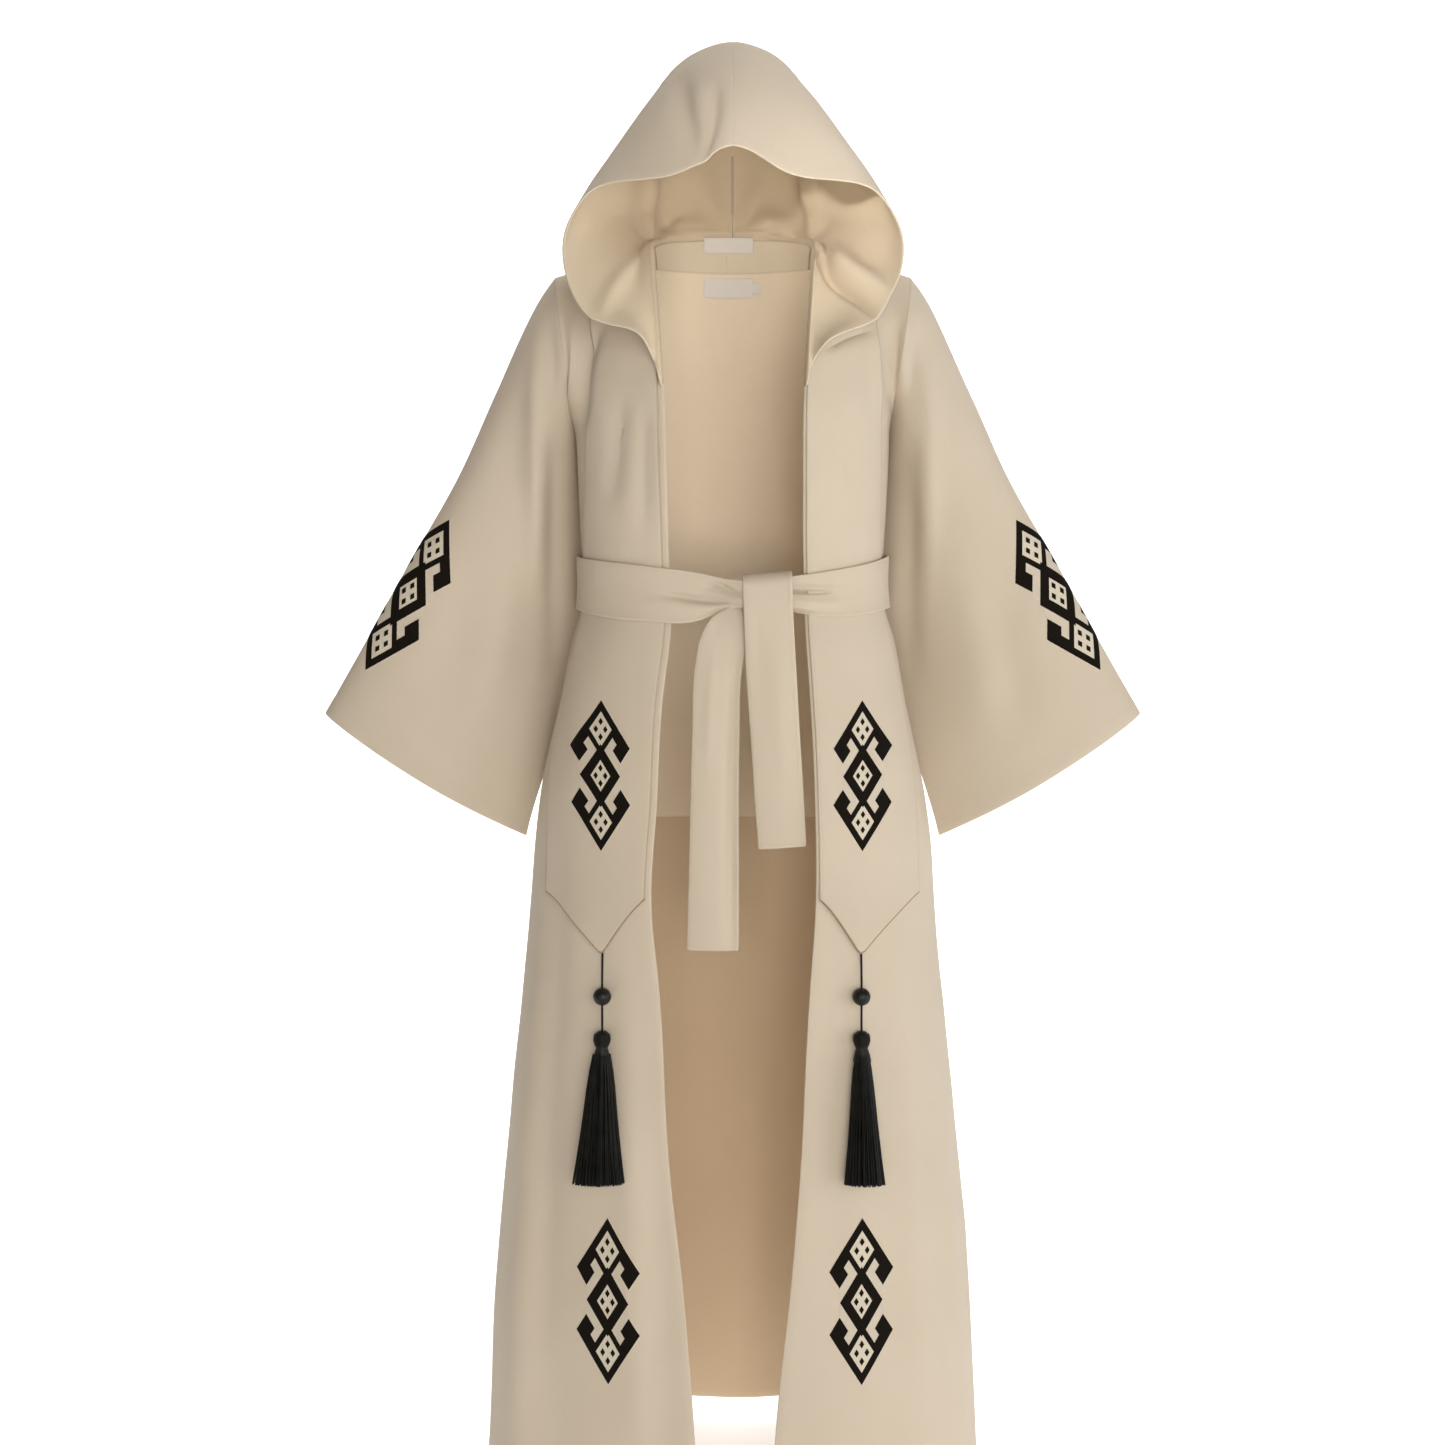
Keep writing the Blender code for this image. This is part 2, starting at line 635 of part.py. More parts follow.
def hood_feet(side):
    """The neck seam, from the rim's foot on the front, up to the shoulder and round to the nape."""
    down = np.arange(NECK_STEPS, -1, -1) / ARMHOLE_STEPS
    front = front_surface(side, down, np.zeros(len(down)))
    share = np.linspace(NECK_SHARE, 0, BACK_NECK_COLUMNS + 1)[1:]
    back = mirrored(side, back_surface(np.zeros(len(share)), share))
    return np.concatenate([front, back])


def hoop_line(stations):
    """A smooth line from a foot to the hood's top seam: the first places as given, the rest even."""
    stations = np.array(stations + [mirrored(-1, stations[-2])])
    reach = np.concatenate([[0], np.cumsum(np.linalg.norm(np.diff(stations, axis=0), axis=1))])
    rows = [Stop(at, place) for at, place in zip(reach, stations)]
    at = np.concatenate([reach[:COLLAR_PLACES], np.linspace(reach[COLLAR_PLACES], reach[-2], HOOD_COLUMNS)])
    return smooth(rows, "at", "place", at)


def hood_collar(side, feet, share, up, lift):
    """A line along the neck seam, where the hood stands up from its foot: out in front, and up behind."""
    steps = np.arange(NECK_STEPS, -1, -1) / ARMHOLE_STEPS
    down = np.clip(steps - up, COLLAR_LEAST_DOWN, 1)
    lifts = lift * (COLLAR_LEAST + (1 - COLLAR_LEAST) * ease(steps / COLLAR_FULL_DOWN))
    front = moved(lambda p, q: front_surface(side, p, q), down, np.full(len(down), share), lifts)
    back = feet[NECK_STEPS + 1:] + np.array([0, 0, lift * COLLAR_LEAST])
    return np.concatenate([front, back])


def make_hood():
    for side, name in ((-1, "hood_left"), (1, "hood_right")):
        feet = hood_feet(side)
        collars = [hood_collar(side, feet, *row) for row in COLLAR]
        backs = np.arange(len(feet)) / (len(feet) - 1)
        lines = [mirrored(side, smooth(HOOD, "back", column, backs)) for column in Hoop._fields[1:]]
        lines[0][:, 2] -= LEDGE_DROP[side] * (1 - ease(backs / LEDGE_DROP_BACK))
        hoops = [hoop_line([line[i] for line in [feet, *collars, *lines]]) for i in range(len(feet) - 1)]
        hoops.append(np.repeat(feet[-1:], hoops[0].shape[0], axis=0))
        panel(name, np.array(hoops), tip=True, inside=HOOD_MIDDLE)


def over_panel_edge(side, z):
    """The shares of the front at which an over-panel begins and ends at a height."""
    name = "left" if side < 0 else "right"
    half = smooth(BODY, "z", "half", z)
    opening = smooth(OPENING, "z", name, z)
    first = angle_at(opening / half)
    low = (angle_at((opening + OVER_PANEL_INSET[side]) / half) - first) / (pi / 2 - first)
    high = (angle_at(smooth(OVER_PANEL, "z", name, z) / half) - first) / (pi / 2 - first)
    return low, high


def make_over_panels():
    steps = np.linspace(0, 1, OVER_PANEL_COLUMNS + 1)
    for side, name in ((-1, "over_panel_left"), (1, "over_panel_right")):
        rows = []
        for down in body_rows()[OVER_PANEL_FIRST_ROW:]:
            z = UNDERARM_Z + (HEM_Z - UNDERARM_Z) * max(down - 1, 0)
            if z < V_FROM_Z - SAME_PLACE:
                break
            low, high = over_panel_edge(side, z)
            rows.append((np.full(len(steps), down), low + (high - low) * steps))
        low, high = over_panel_edge(side, V_CORNER_Z)
        corner = low + (high - low) * steps
        x = np.abs(front_surface(side, np.full(len(steps), down_at(V_CORNER_Z)), corner)[:, 0])
        middle = np.abs(x - V_POINT_X[side]).argmin()
        rise = np.where(np.arange(len(steps)) < middle, (x - x[0]) / (x[middle] - x[0]),
                        (x[-1] - x) / (x[-1] - x[middle]))
        end = V_CORNER_Z + (V_POINT[side] - V_CORNER_Z) * np.clip(rise, 0, 1) ** V_HOLLOW
        above = rows[-1][1]
        for part in np.arange(1, V_STEPS + 1) / V_STEPS:
            rows.append((down_at(V_FROM_Z + (end - V_FROM_Z) * part), above + (corner - above) * part))
        down, share = np.array([row[0] for row in rows]), np.array([row[1] for row in rows])
        out = CLOTH + LAYER_GAP
        grid = moved(lambda p, q: front_surface(side, p, q), down, share, np.full(down.shape, out))
        panel(name, grid, sewn=False)


def make_linings():
    rows = body_rows()
    shares = back_shares()
    ends = int(np.argmin(np.abs(rows - down_at(LINING_END_Z))))
    inside = (CLOTH + THIN_CLOTH) / 2 + LINING_GAP
    neck = shares[np.abs(shares) < NECK_SHARE - SAME_PLACE]
    down, share = np.meshgrid([FACING_START, *rows[1: FACING_ROWS + 1]], neck, indexing="ij")
    panel("neck_facing", moved(back_surface, down, share, np.full(down.shape, -inside)), THIN_CLOTH,
          colour=CREAM_INSIDE)
    wide = shares[np.abs(shares) < LINING_REACH]
    down, share = np.meshgrid(rows[FACING_ROWS: ends + 1], wide, indexing="ij")
    panel("half_lining", moved(back_surface, down, share, np.full(down.shape, -inside)), THIN_CLOTH,
          colour=CREAM_INSIDE)


def make_labels():
    """Each label hangs flat inside the back: its rows run down the back's middle, and up past the seam."""
    steps = np.linspace(0, 0.5, SEARCH_STEPS)
    middle = back_surface(steps, np.zeros(SEARCH_STEPS))
    shares = np.linspace(-NECK_SHARE, NECK_SHARE, SEARCH_STEPS)
    for name, (width, height, top) in (("hood_label", HOOD_LABEL), ("neck_label", NECK_LABEL)):
        out = -(CLOTH / 2 + THIN_CLOTH + LABEL_CLOTH / 2 + LABEL_GAP[name])
        rows = []
        for z in np.linspace(top, top - height, LABEL_ROWS + 1):
            down = max(np.interp(-z, -middle[:, 2], steps), LABEL_LEAST_DOWN)
            reach = back_surface(np.full(SEARCH_STEPS, down), shares)[:, 0]
            share = np.interp(LABEL_X + np.linspace(-0.5, 0.5, LABEL_COLUMNS + 1) * width, reach, shares)
            row = moved(back_surface, np.full(len(share), down), share, np.full(len(share), out))
            row[:, 2] += z - row[len(row) // 2, 2]
            rows.append(row)
        panel(name, np.array(rows), LABEL_CLOTH, colour=LABEL_GREY, sewn=False)


# The sash

def belt_point(angle_degrees, across_share):
    """The sash round the waist: the angle runs from the knot, left side first, all the way round."""
    turn = (-angle_degrees + 180) % 360 - 180
    top = smooth(BELT, "angle", "top", turn)
    low = smooth(BELT, "angle", "bottom", turn)
    z = top + (low - top) * across_share
    angle = np.radians(turn)
    behind = ease((np.abs(turn) - BELT_BACK_FROM) / (BELT_BACK_FULL - BELT_BACK_FROM))
    over = BELT_OVER_FRONT + (BELT_OVER_BACK - BELT_OVER_FRONT) * behind
    folds = KNOT_FOLD * np.exp(-((turn / KNOT_FOLDS_REACH) ** 2)) * np.sin(across_share * KNOT_FOLDS * pi)
    return body(z, angle, over + folds)


def make_belt():
    angles = np.concatenate([np.linspace(BELT_START, 40, 11), np.linspace(40, 320, 30)[1:-1],
                             np.linspace(320, BELT_END, 8)])
    angle, share = np.meshgrid(angles, np.linspace(0, 1, BELT_ROWS), indexing="ij")
    panel("belt_wrap", belt_point(angle, share), SASH, sewn=False)


def make_knot():
    """A bundle of cloth turned round a level line, ridged where the sash's folds wind round it."""
    work = bmesh.new()
    turns = 2 * pi * np.arange(KNOT_SIDES) / KNOT_SIDES
    rings = []
    for k, row in enumerate(KNOT):
        ridge = 1 + KNOT_RIDGE * np.sin(5 * turns + k)
        places = points(row.x, -row.forward * np.cos(turns) * ridge, row.up * np.sin(turns) * ridge)
        rings.append([work.verts.new(place) for place in places + np.array(KNOT_AT)])
    for ring, after in zip(rings, rings[1:]):
        for j in range(KNOT_SIDES):
            work.faces.new((ring[j], ring[j - 1], after[j - 1], after[j]))
    work.faces.new(rings[0])
    work.faces.new(rings[-1][::-1])
    bmesh.ops.recalc_face_normals(work, faces=work.faces)
    finish_piece("belt_knot", work, CREAM)


def tail_grid(rows):
    """A strip whose middle runs through the table's rows, cupped a little across."""
    places = np.array([(row.x, row.y, row.z) for row in rows])
    widths = np.array([row.width for row in rows])
    steps = np.linspace(-0.5, 0.5, TAIL_COLUMNS + 1)
    lean = np.gradient(places, axis=0)
    lean /= np.linalg.norm(lean, axis=1, keepdims=True)
    beside = np.array([1, 0, 0]) - lean * lean[:, :1]
    beside /= np.linalg.norm(beside, axis=1, keepdims=True)
    out = np.cross(beside, lean)
    bow = np.outer(np.clip((widths / TAIL_CUP_WIDTH) ** 2, 0, 1), TAIL_CUP * (1 - 4 * steps**2))
    bow *= ease((KNOT_AT[2] - places[:, 2]) / TAIL_CUP_DROP)[:, None] * np.sign(out[:, 1:2])
    flat = places[:, None] + beside[:, None] * (widths[:, None] * steps)[..., None]
    return flat - out[:, None] * bow[..., None]


def make_tails():
    panel("belt_tail_short", tail_grid(TAIL_SHORT), SASH, sewn=False)
    panel("belt_tail_long", tail_grid(TAIL_LONG), SASH, sewn=False)


# The trimming at each point

def point_of(side):
    """The tip of an over-panel, at the middle of its wall."""
    name = "over_panel_left" if side < 0 else "over_panel_right"
    last = next(made["grid"][-1] for made in panels if made["name"] == name)
    return last[np.argmin(last[:, 2])]


def trim_line(side, z):
    """The line that the trimming hangs in, from the panel's point down along the skirt."""
    tip = point_of(side)
    clear = smooth(TRIM, "z", "clear", z)
    x = abs(tip[0]) + smooth(TRIM, "z", "sideways", z)
    angle = angle_at(x / smooth(BODY, "z", "half", z))
    made = body(np.array(z), np.array(side * angle), clear)
    return np.array([side * x, made[1], z])


def make_cord(name, side, top, low):
    curve = bpy.data.curves.new(name, "CURVE")
    curve.dimensions = "3D"
    curve.bevel_depth = CORD_RADIUS
    curve.bevel_resolution = 2
    curve.use_fill_caps = True
    line = curve.splines.new("POLY")
    heights = np.linspace(top, low, 4)
    line.points.add(len(heights) - 1)
    for spot, z in zip(line.points, heights):
        spot.co = (*trim_line(side, z), 1)
    piece = bpy.data.objects.new(name, curve)
    kaftan.objects.link(piece)
    curve.materials.append(finish(name, BLACK, 0.6))


def make_cords():
    for side, name in ((-1, "left"), (1, "right")):
        tip_z = point_of(side)[2]
        make_cord(f"tassel_cord_upper_{name}", side, tip_z - 2 * SEAM_GAP, BEAD_Z + BEAD_RADIUS + SEAM_GAP)
        make_cord(f"tassel_cord_lower_{name}", side, BEAD_Z - BEAD_RADIUS - SEAM_GAP, HEAD_Z + SEAM_GAP)


def make_beads():
    for side, name in ((-1, "tassel_bead_left"), (1, "tassel_bead_right")):
        work = bmesh.new()
        bmesh.ops.create_uvsphere(work, u_segments=14, v_segments=9, radius=BEAD_RADIUS,
                                  matrix=Matrix.Translation(trim_line(side, BEAD_Z)))
        finish_piece(name, work, BLACK, 0.45)


def make_tassels():
    for side, name in ((-1, "tassel_left"), (1, "tassel_right")):
        finish_piece(name, tassel_mesh(side), BLACK, 0.55)


def tassel_mesh(side):
    """A turned head whose underside is divided into cells, each drawn down as one strand."""
    work = bmesh.new()
    rings = []
    for radius, z in HEAD_PROFILE:
        rings.append(head_ring(work, radius, z))
    reach, low = HEAD_PROFILE[-1]
    cells = []
    for k in range(1, STRAND_RINGS + 1):
        rings.append(head_ring(work, reach * (1 - k / (STRAND_RINGS + CELL_CORE)), low))
    for k, (ring, after) in enumerate(zip(rings, rings[1:])):
        for j in range(STRANDS_ROUND):
            face = work.faces.new((ring[j], ring[j - 1], after[j - 1], after[j]))
            if k >= len(HEAD_PROFILE) - 1:
                cells.append(face)
    work.faces.new(rings[0])
    work.faces.new(rings[-1][::-1])
    bmesh.ops.recalc_face_normals(work, faces=work.faces)
    bmesh.ops.inset_individual(work, faces=cells, thickness=STRAND_INSET, use_even_offset=True)
    draw_strands(work, cells, low)
    start = trim_line(side, HEAD_Z)
    lean = (trim_line(side, TASSEL_END_Z) - start) / (TASSEL_END_Z - HEAD_Z)
    for vert in work.verts:
        vert.co = Vector(start + lean * vert.co.z + np.array([vert.co.x, vert.co.y, 0]))
    return work


def head_ring(work, radius, z):
    turns = [2 * pi * j / STRANDS_ROUND for j in range(STRANDS_ROUND)]
    return [work.verts.new((radius * np.cos(turn), radius * np.sin(turn), z)) for turn in turns]


def draw_strands(work, cells, low):
    """Each strand leaves its cell, spreads out into the skirt and ends at its own height."""
    length = HEAD_Z - TASSEL_END_Z + low
    radius = HEAD_PROFILE[-1].radius
    for k, face in enumerate(cells):
        home = face.calc_center_median() / radius
        for stage in STRAND_STAGES:
            face = bmesh.ops.extrude_discrete_faces(work, faces=[face])["faces"][0]
            middle = face.calc_center_median()
            drop = length * (stage.drop - stage.uneven * (k * 7 % 5))
            target = Vector((home.x * (radius + (SKIRT_HALF_WIDTH - radius) * stage.spread),
                             home.y * (radius + (SKIRT_HALF_DEPTH - radius) * stage.spread), low - drop))
            for vert in face.verts:
                vert.co = target + (vert.co - middle) * stage.widen


def clear_scene():
    for old in list(bpy.data.objects):
        bpy.data.objects.remove(old, do_unlink=True)


def make_collection():
    made = bpy.data.collections.new("kaftan")
    bpy.context.scene.collection.children.link(made)
    return made


clear_scene()
kaftan = make_collection()
make_back()
make_fronts()
make_sleeves()
make_hood()
make_linings()
make_over_panels()
make_labels()
make_belt()
make_tails()
make_cords()
make_beads()
make_tassels()
make_knot()
sew()
for made in panels:
    finish_piece(made["name"], wall_mesh(made), made["colour"])
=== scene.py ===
"""The looks of a hooded kaftan: fine cloth with folds, stitching, motifs and tassels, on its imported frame.

Metres, +Z up; the places and sizes in table() and fold_table() are millimetres. The front faces -Y and the
side called left is -X. The cloth follows the same surfaces as the solids that it replaces, worked out from
the same tables, with finer steps, folds and turned edges.
"""
from collections import namedtuple
from functools import partial
from math import pi
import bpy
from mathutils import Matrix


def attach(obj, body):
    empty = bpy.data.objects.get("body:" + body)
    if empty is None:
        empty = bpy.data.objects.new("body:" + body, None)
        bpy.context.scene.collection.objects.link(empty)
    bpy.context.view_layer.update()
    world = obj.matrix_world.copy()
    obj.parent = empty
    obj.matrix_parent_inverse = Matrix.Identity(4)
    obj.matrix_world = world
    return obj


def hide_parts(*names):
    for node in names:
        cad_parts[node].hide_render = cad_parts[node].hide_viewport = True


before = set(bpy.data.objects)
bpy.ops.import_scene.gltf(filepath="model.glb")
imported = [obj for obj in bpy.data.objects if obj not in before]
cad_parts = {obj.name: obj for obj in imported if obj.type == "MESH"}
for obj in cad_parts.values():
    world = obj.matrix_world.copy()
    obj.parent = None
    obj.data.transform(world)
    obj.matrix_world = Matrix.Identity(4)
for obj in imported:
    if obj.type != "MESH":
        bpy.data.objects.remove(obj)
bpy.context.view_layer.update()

from types import SimpleNamespace

import bmesh
import bpy
import numpy as np
from mathutils.kdtree import KDTree


MM = 0.001
SIDES = {-1: "left", 1: "right"}


def table(fields, plain, rows):
    """A table's named rows: the first few columns are plain numbers, and the rest millimetres."""
    kind = namedtuple("Row", fields)
    return [kind(*row[:plain], *(np.array(cell) * MM for cell in row[plain:])) for row in rows]


Fold = namedtuple("Fold", "width depth route")


def fold_table(*rows):
    """Folds in millimetres: each has a width, a depth and the places of its route."""
    return [Fold(width * MM, depth * MM, np.array(route) * MM) for width, depth, *route in rows]


# Cloth and gaps
CLOTH = 0.0018
THIN_CLOTH = 0.0012
LABEL_CLOTH = 0.0008
SASH = 0.0024
SEAM_GAP = 0.0001
LAYER_GAP = 0.0011
LEAST_MITRE = 0.4
MOST_DRAW = 5.0
SAME_PLACE = 1e-6
SHARP_FROM = 1.1

# Main sizes
HEM_Z = -1.420
UNDERARM_Z = -0.200
NECK_SHOULDER = np.array([0.092, 0.000, 0.010])
SHOULDER = np.array([0.205, 0.000, -0.025])
UNDERARM = np.array([0.181, 0.000, UNDERARM_Z])
NAPE_BACK = 0.100
NAPE_RISE = 0.019
ARMHOLE_FRONT = 0.060
ARMHOLE_BACK = 0.062
SQUARE = 0.03

# How the yoke turns down from the shoulder seam
FRONT_LEAD = 0.6
YOKE = table("share x y z", 1, [
    (-0.17, -52, 110, -31), (0, 0, 120, -41), (0.17, 52, 110, -31), (0.34, 91, 83, -13),
    (0.6, 137, 49, -6), (1, 205, 0, -25),
])
CHEST_LEAD = np.array([0.000, 0.000, 0.080])

# The share of the back, from its middle to its side, that the neckline takes
NECK_SHARE = 1 / 3

# How finely each piece is divided
ARMHOLE_STEPS = 88
NECK_STEPS = 72
FRONT_COLUMNS = 48
BACK_NECK_COLUMNS = 40
BODY_ROW = 0.0078

# The body at each height: half its width, and how far the middles of its front and back lie from its sides.
BODY = table("z half front back", 0, [
    (-200, 181, 134, 124), (-280, 178, 131, 112), (-350, 174.5, 119, 102), (-383, 174, 115, 100),
    (-411, 177, 117, 103), (-443, 187, 125, 112), (-514, 201, 137, 127), (-620, 224, 151, 144),
    (-811, 242, 161, 162), (-991, 261, 167, 175), (-1174, 279, 171, 185), (-1420, 292, 173, 193),
])

# Where the fronts' opening edges lie, from the middle.
OPENING = table("z left right", 0, [
    (-200, 77.5, 79), (-350, 73, 80), (-411, 70.5, 81.5), (-510, 81, 88), (-620, 87, 93),
    (-730, 93, 94), (-830, 84, 87), (-1040, 72.5, 76.5), (-1170, 58, 66), (-1290, 48, 53),
    (-1420, 40, 44),
])

# Soft flutes of the skirt: the angle round the body from the middle of the front, then sizes and heights.
FLUTES = table("angle width depth start full", 2, [
    (-58, 11, 7, -750, -1350), (60, 12, 6, -800, -1350), (-41, 9, -4, -800, -1300),
    (43, 9, -4, -800, -1300), (-112, 12, 9, -500, -1300), (114, 11, 10, -550, -1300),
    (-134, 10, -8, -500, -1250), (137, 10, -7, -550, -1300), (-156, 12, 10, -470, -1200),
    (158, 11, 9, -500, -1250), (179, 9, -8, -470, -1250),
])

# The over-panels: their outer edges from the middle, below the underarm. V corners and points follow.
OVER_PANEL = table("z left right", 0, [
    (-200, 164, 164), (-350, 168, 167), (-405, 169.5, 169), (-443, 180, 179), (-500, 193, 190),
    (-607, 209, 206), (-660, 211, 208), (-730, 212, 209),
])
V_CORNER_Z = -0.728
V_FROM_Z = -0.668
V_STEPS = 18
V_BLUNT = 0.965
V_HOLLOW = 1.25
V_POINT = {-1: -0.791, 1: -0.792}
V_POINT_X = {-1: 0.1480, 1: 0.1435}
OVER_PANEL_INSET = {-1: 0.0060, 1: 0.0030}
OVER_PANEL_FIRST_ROW = 40
OVER_PANEL_COLUMNS = 36

# How much further off the front an over-panel's point stands, and the share of its rows that rise to it
POINT_RISE = 0.0018
POINT_ROWS = 0.1

# The sleeve, from the armhole to the cuff. The fold along its top is a place; the fold under it follows the
# body's side, at this angle round the body and this far out from it.
SLEEVE = table("along angle top_x top_y top_z under_z clear front back", 2, [
    (0, 90, 205, 0, -25, -200, 0, 60, 62), (0.07, 94, 221.5, 0, -48, -228, 1, 63, 64),
    (0.25, 104, 272, -2, -153, -300, 6, 62, 62), (0.45, 115, 320, -4, -257, -382, 11, 56, 56),
    (0.65, 112, 376, -7, -354, -470, 9, 49, 50), (0.85, 99, 433, -10, -455, -585, 3.5, 42, 45),
    (1, 93, 475, -12, -528, -674, 14, 38, 42),
])
SLEEVE_ROWS = 76
CUFF_BOW = 0.005

# The hood as hoops, from the rim (back 0) to the nape (back 1), each given by six places above its foot.
HOOD = table("back ledge corner side temple brow top", 1, [
    (0, (102, -137, -99), (160, -121, -77), (187, -96, 21), (164, -92, 60), (62, -104, 83), (0, -110, 112)),
    (0.14, (110, -109, -71), (148, -100, -52), (180, -68, 21), (159, -56, 80), (81, -54, 148), (0, -60, 178)),
    (0.32, (105, -70, -24), (128, -60, -8), (160, -34, 30), (144, -14, 98), (86, -4, 194), (0, -8, 227.5)),
    (0.52, (102, -12, 11), (113, -2, 21), (129, 16, 46), (120, 34, 104), (79, 44, 206.5), (0, 40, 246.3)),
    (0.7, (93, 34, 20), (98, 44, 29), (103, 62, 52), (97, 78, 102), (61, 92, 167), (0, 96, 199)),
    (0.86, (60, 85, 34.5), (63, 91, 42), (67, 100, 58), (61, 109, 83), (37, 118, 115), (0, 122, 129)),
    (1, (0, 100, 37), (0, 101, 40), (0, 102, 43), (0, 103, 46), (0, 104, 49), (0, 105, 52)),
])
HOOD_COLUMNS = 150
LEDGE_DROP = {-1: 0.000, 1: 0.008}
LEDGE_DROP_BACK = 0.30

# Two lines where the hood turns over above its foot: their share of the front, and how far up and out
# they lie.
COLLAR = [(0.00, 0.00, 0.0068), (0.03, 0.09, 0.0110)]
COLLAR_LEAST = 0.45
COLLAR_FULL_DOWN = 0.4
COLLAR_LEAST_DOWN = 0.02
HOOD_MIDDLE = (0, 0.000, 0.060)

# The sash: its edges' heights by the angle round the body from the knot.
BELT = table("angle top bottom", 1, [
    (-180, -350, -408), (-75, -347, -406), (-30, -355, -415), (-12, -362, -415), (0, -370, -400),
    (12, -369, -401), (25, -364, -408), (75, -347, -404), (180, -350, -408),
])
BELT_END = 351.4
BELT_FIRST = -6.5
BELT_COMES_FORWARD = 8.0
BELT_AT_KNOT = -0.1335
BELT_ROWS = 49
BELT_STEP = 1.6
BELT_OVER_FRONT = 0.0068
BELT_OVER_BACK = 0.0040
BELT_BACK_FROM = 80.0
BELT_BACK_FULL = 105.0
KNOT_FOLDS = 3
KNOT_FOLDS_REACH = 16.0

# The knot, as turned sections from its left to its right: how far out, forward and up each reaches.
KNOT = table("x forward up", 0, [
    (-10.5, 4.5, 11), (-6.5, 8, 16.5), (0, 10.2, 18.5), (7, 8.6, 17), (12, 5, 12),
])
KNOT_AT = (0.0172, -0.1250, -0.3880)
KNOT_FIRST = -0.0040
KNOT_RINGS = 26
KNOT_SIDES = 72
KNOT_WRAP = (-2.2, 3.3)
KNOT_FOLD_COUNT = 7
KNOT_FOLD = 0.0012
KNOT_RIDGE = 0.07

# The sash's two ends: each row is the middle of a cross line, and its width.
TAIL_SHORT = table("x y z width", 0, [
    (38, -106, -380, 52), (38, -107.5, -368, 52), (38, -113, -361.2, 53), (38, -129, -360.8, 53),
    (38.2, -135.8, -367, 53), (38.5, -137.6, -380, 53), (40, -137.8, -420, 53),
    (42.5, -137.2, -470, 54), (47, -136.5, -540, 53), (51.5, -136.5, -610, 53), (55.5, -137, -669, 52),
])
TAIL_LONG = table("x y z width", 0, [
    (12.5, -125.6, -406.5, 22), (4, -127.2, -414, 34), (-4.5, -128.8, -424.5, 45),
    (-11.5, -129.7, -441, 50), (-16, -130, -465, 51), (-19, -130, -540, 52), (-20.5, -130.5, -610, 53),
    (-21.5, -131, -700, 55), (-23, -131.5, -787, 57),
])
TAIL_TOP_RIGHT = 0.0645
TAIL_TOP_DROP = 0.0010
TAIL_TOP_SLOPE = 0.075
TAIL_TOP_FROM = -0.405
TAIL_TOP_FULL = -0.372
TAIL_ROWS = 90
TAIL_COLUMNS = 20
TAIL_CUP = 0.0030
TAIL_CUP_WIDTH = 0.05
TAIL_CUP_DROP = 0.10

# Linings and labels inside the back
FACING_ROWS = 16
FACING_BELOW = 0.5
LINING_END_Z = -0.668
LINING_REACH = 0.80
LINING_GAP = 0.0006
HOOD_LABEL = (0.060, 0.0175, 0.0310)
NECK_LABEL = (0.060, 0.0225, -0.0165)
LABEL_X = -0.0050
LABEL_GAP = {"hood_label": 0.0024, "neck_label": 0.0021}
LABEL_ROWS = 8
LABEL_COLUMNS = 16
LABEL_LEAST_DOWN = 0.01
SEARCH_STEPS = 200
TAB = (0.0115, 0.0106, -0.0230)
TAB_X = 0.0290

# The trimming at each point
CORD_RADIUS = 0.0014
BEAD_RADIUS = 0.0100
BEAD_Z = -0.837
HEAD_Z = -0.876
TASSEL_END_Z = -1.048
TRIM = table("z clear sideways", 0, [
    (-791, 3.4, 0), (-800, 6.2, 0), (-817, 11.5, 0), (-837, 12.8, 0), (-876, 12.8, 0), (-910, 13.5, 1),
    (-1048, 20, 4),
])
HEAD_PROFILE = table("radius z", 0, [
    (5, 0), (8.8, -4), (9.5, -10), (8, -15), (6.8, -19), (9, -26), (10.5, -34),
])
SKIRT_HALF_WIDTH = 0.0300
SKIRT_HALF_DEPTH = 0.0150

# Folds: soft ridges (depth over 0) and troughs (under 0), as lines that die out at both ends. Two numbers a
# place are X and Z, on the side of the piece that faces out; three are a place in the round.
FOLD_FADE = 0.35
FOLD_PLACES = 14
SEAM_CALM = 0.10
FRONT_FOLDS = {
    -1: fold_table(
        (9, -10.5, (-143, -66), (-163, -122), (-170, -215)),
        (9, 7, (-181, -45), (-183, -225)),
        (12, -5, (-122, -150), (-138, -300)),
        (10, -3.6, (-98, -160), (-99, -335)),
        (20, 4.6, (-123, -700), (-115, -1070), (-104, -1500)),
        (16, -5, (-190, -560), (-207, -900), (-220, -1350)),
        (18, 4.6, (-215, -700), (-238, -1000), (-252, -1500)),
        (16, 3, (-170, -480), (-176, -640)),
        (22, -3.4, (-85, -900), (-80, -1150), (-78, -1500)),
    ),
    1: fold_table(
        (10, -5.5, (184, -70), (180, -190)),
        (9, 3.5, (160, -80), (163, -190)),
        (3.5, -3.4, (96, -118), (129, -99), (162, -88)),
        (14, -2.6, (130, -170), (137, -300)),
        (20, 4.6, (183, -640), (200, -950), (214, -1500)),
        (18, -1.8, (108, -780), (113, -1050), (105, -1260)),
        (16, -4, (215, -700), (236, -1000), (246, -1500)),
        (18, 2.8, (174, -470), (182, -620)),
    ),
}
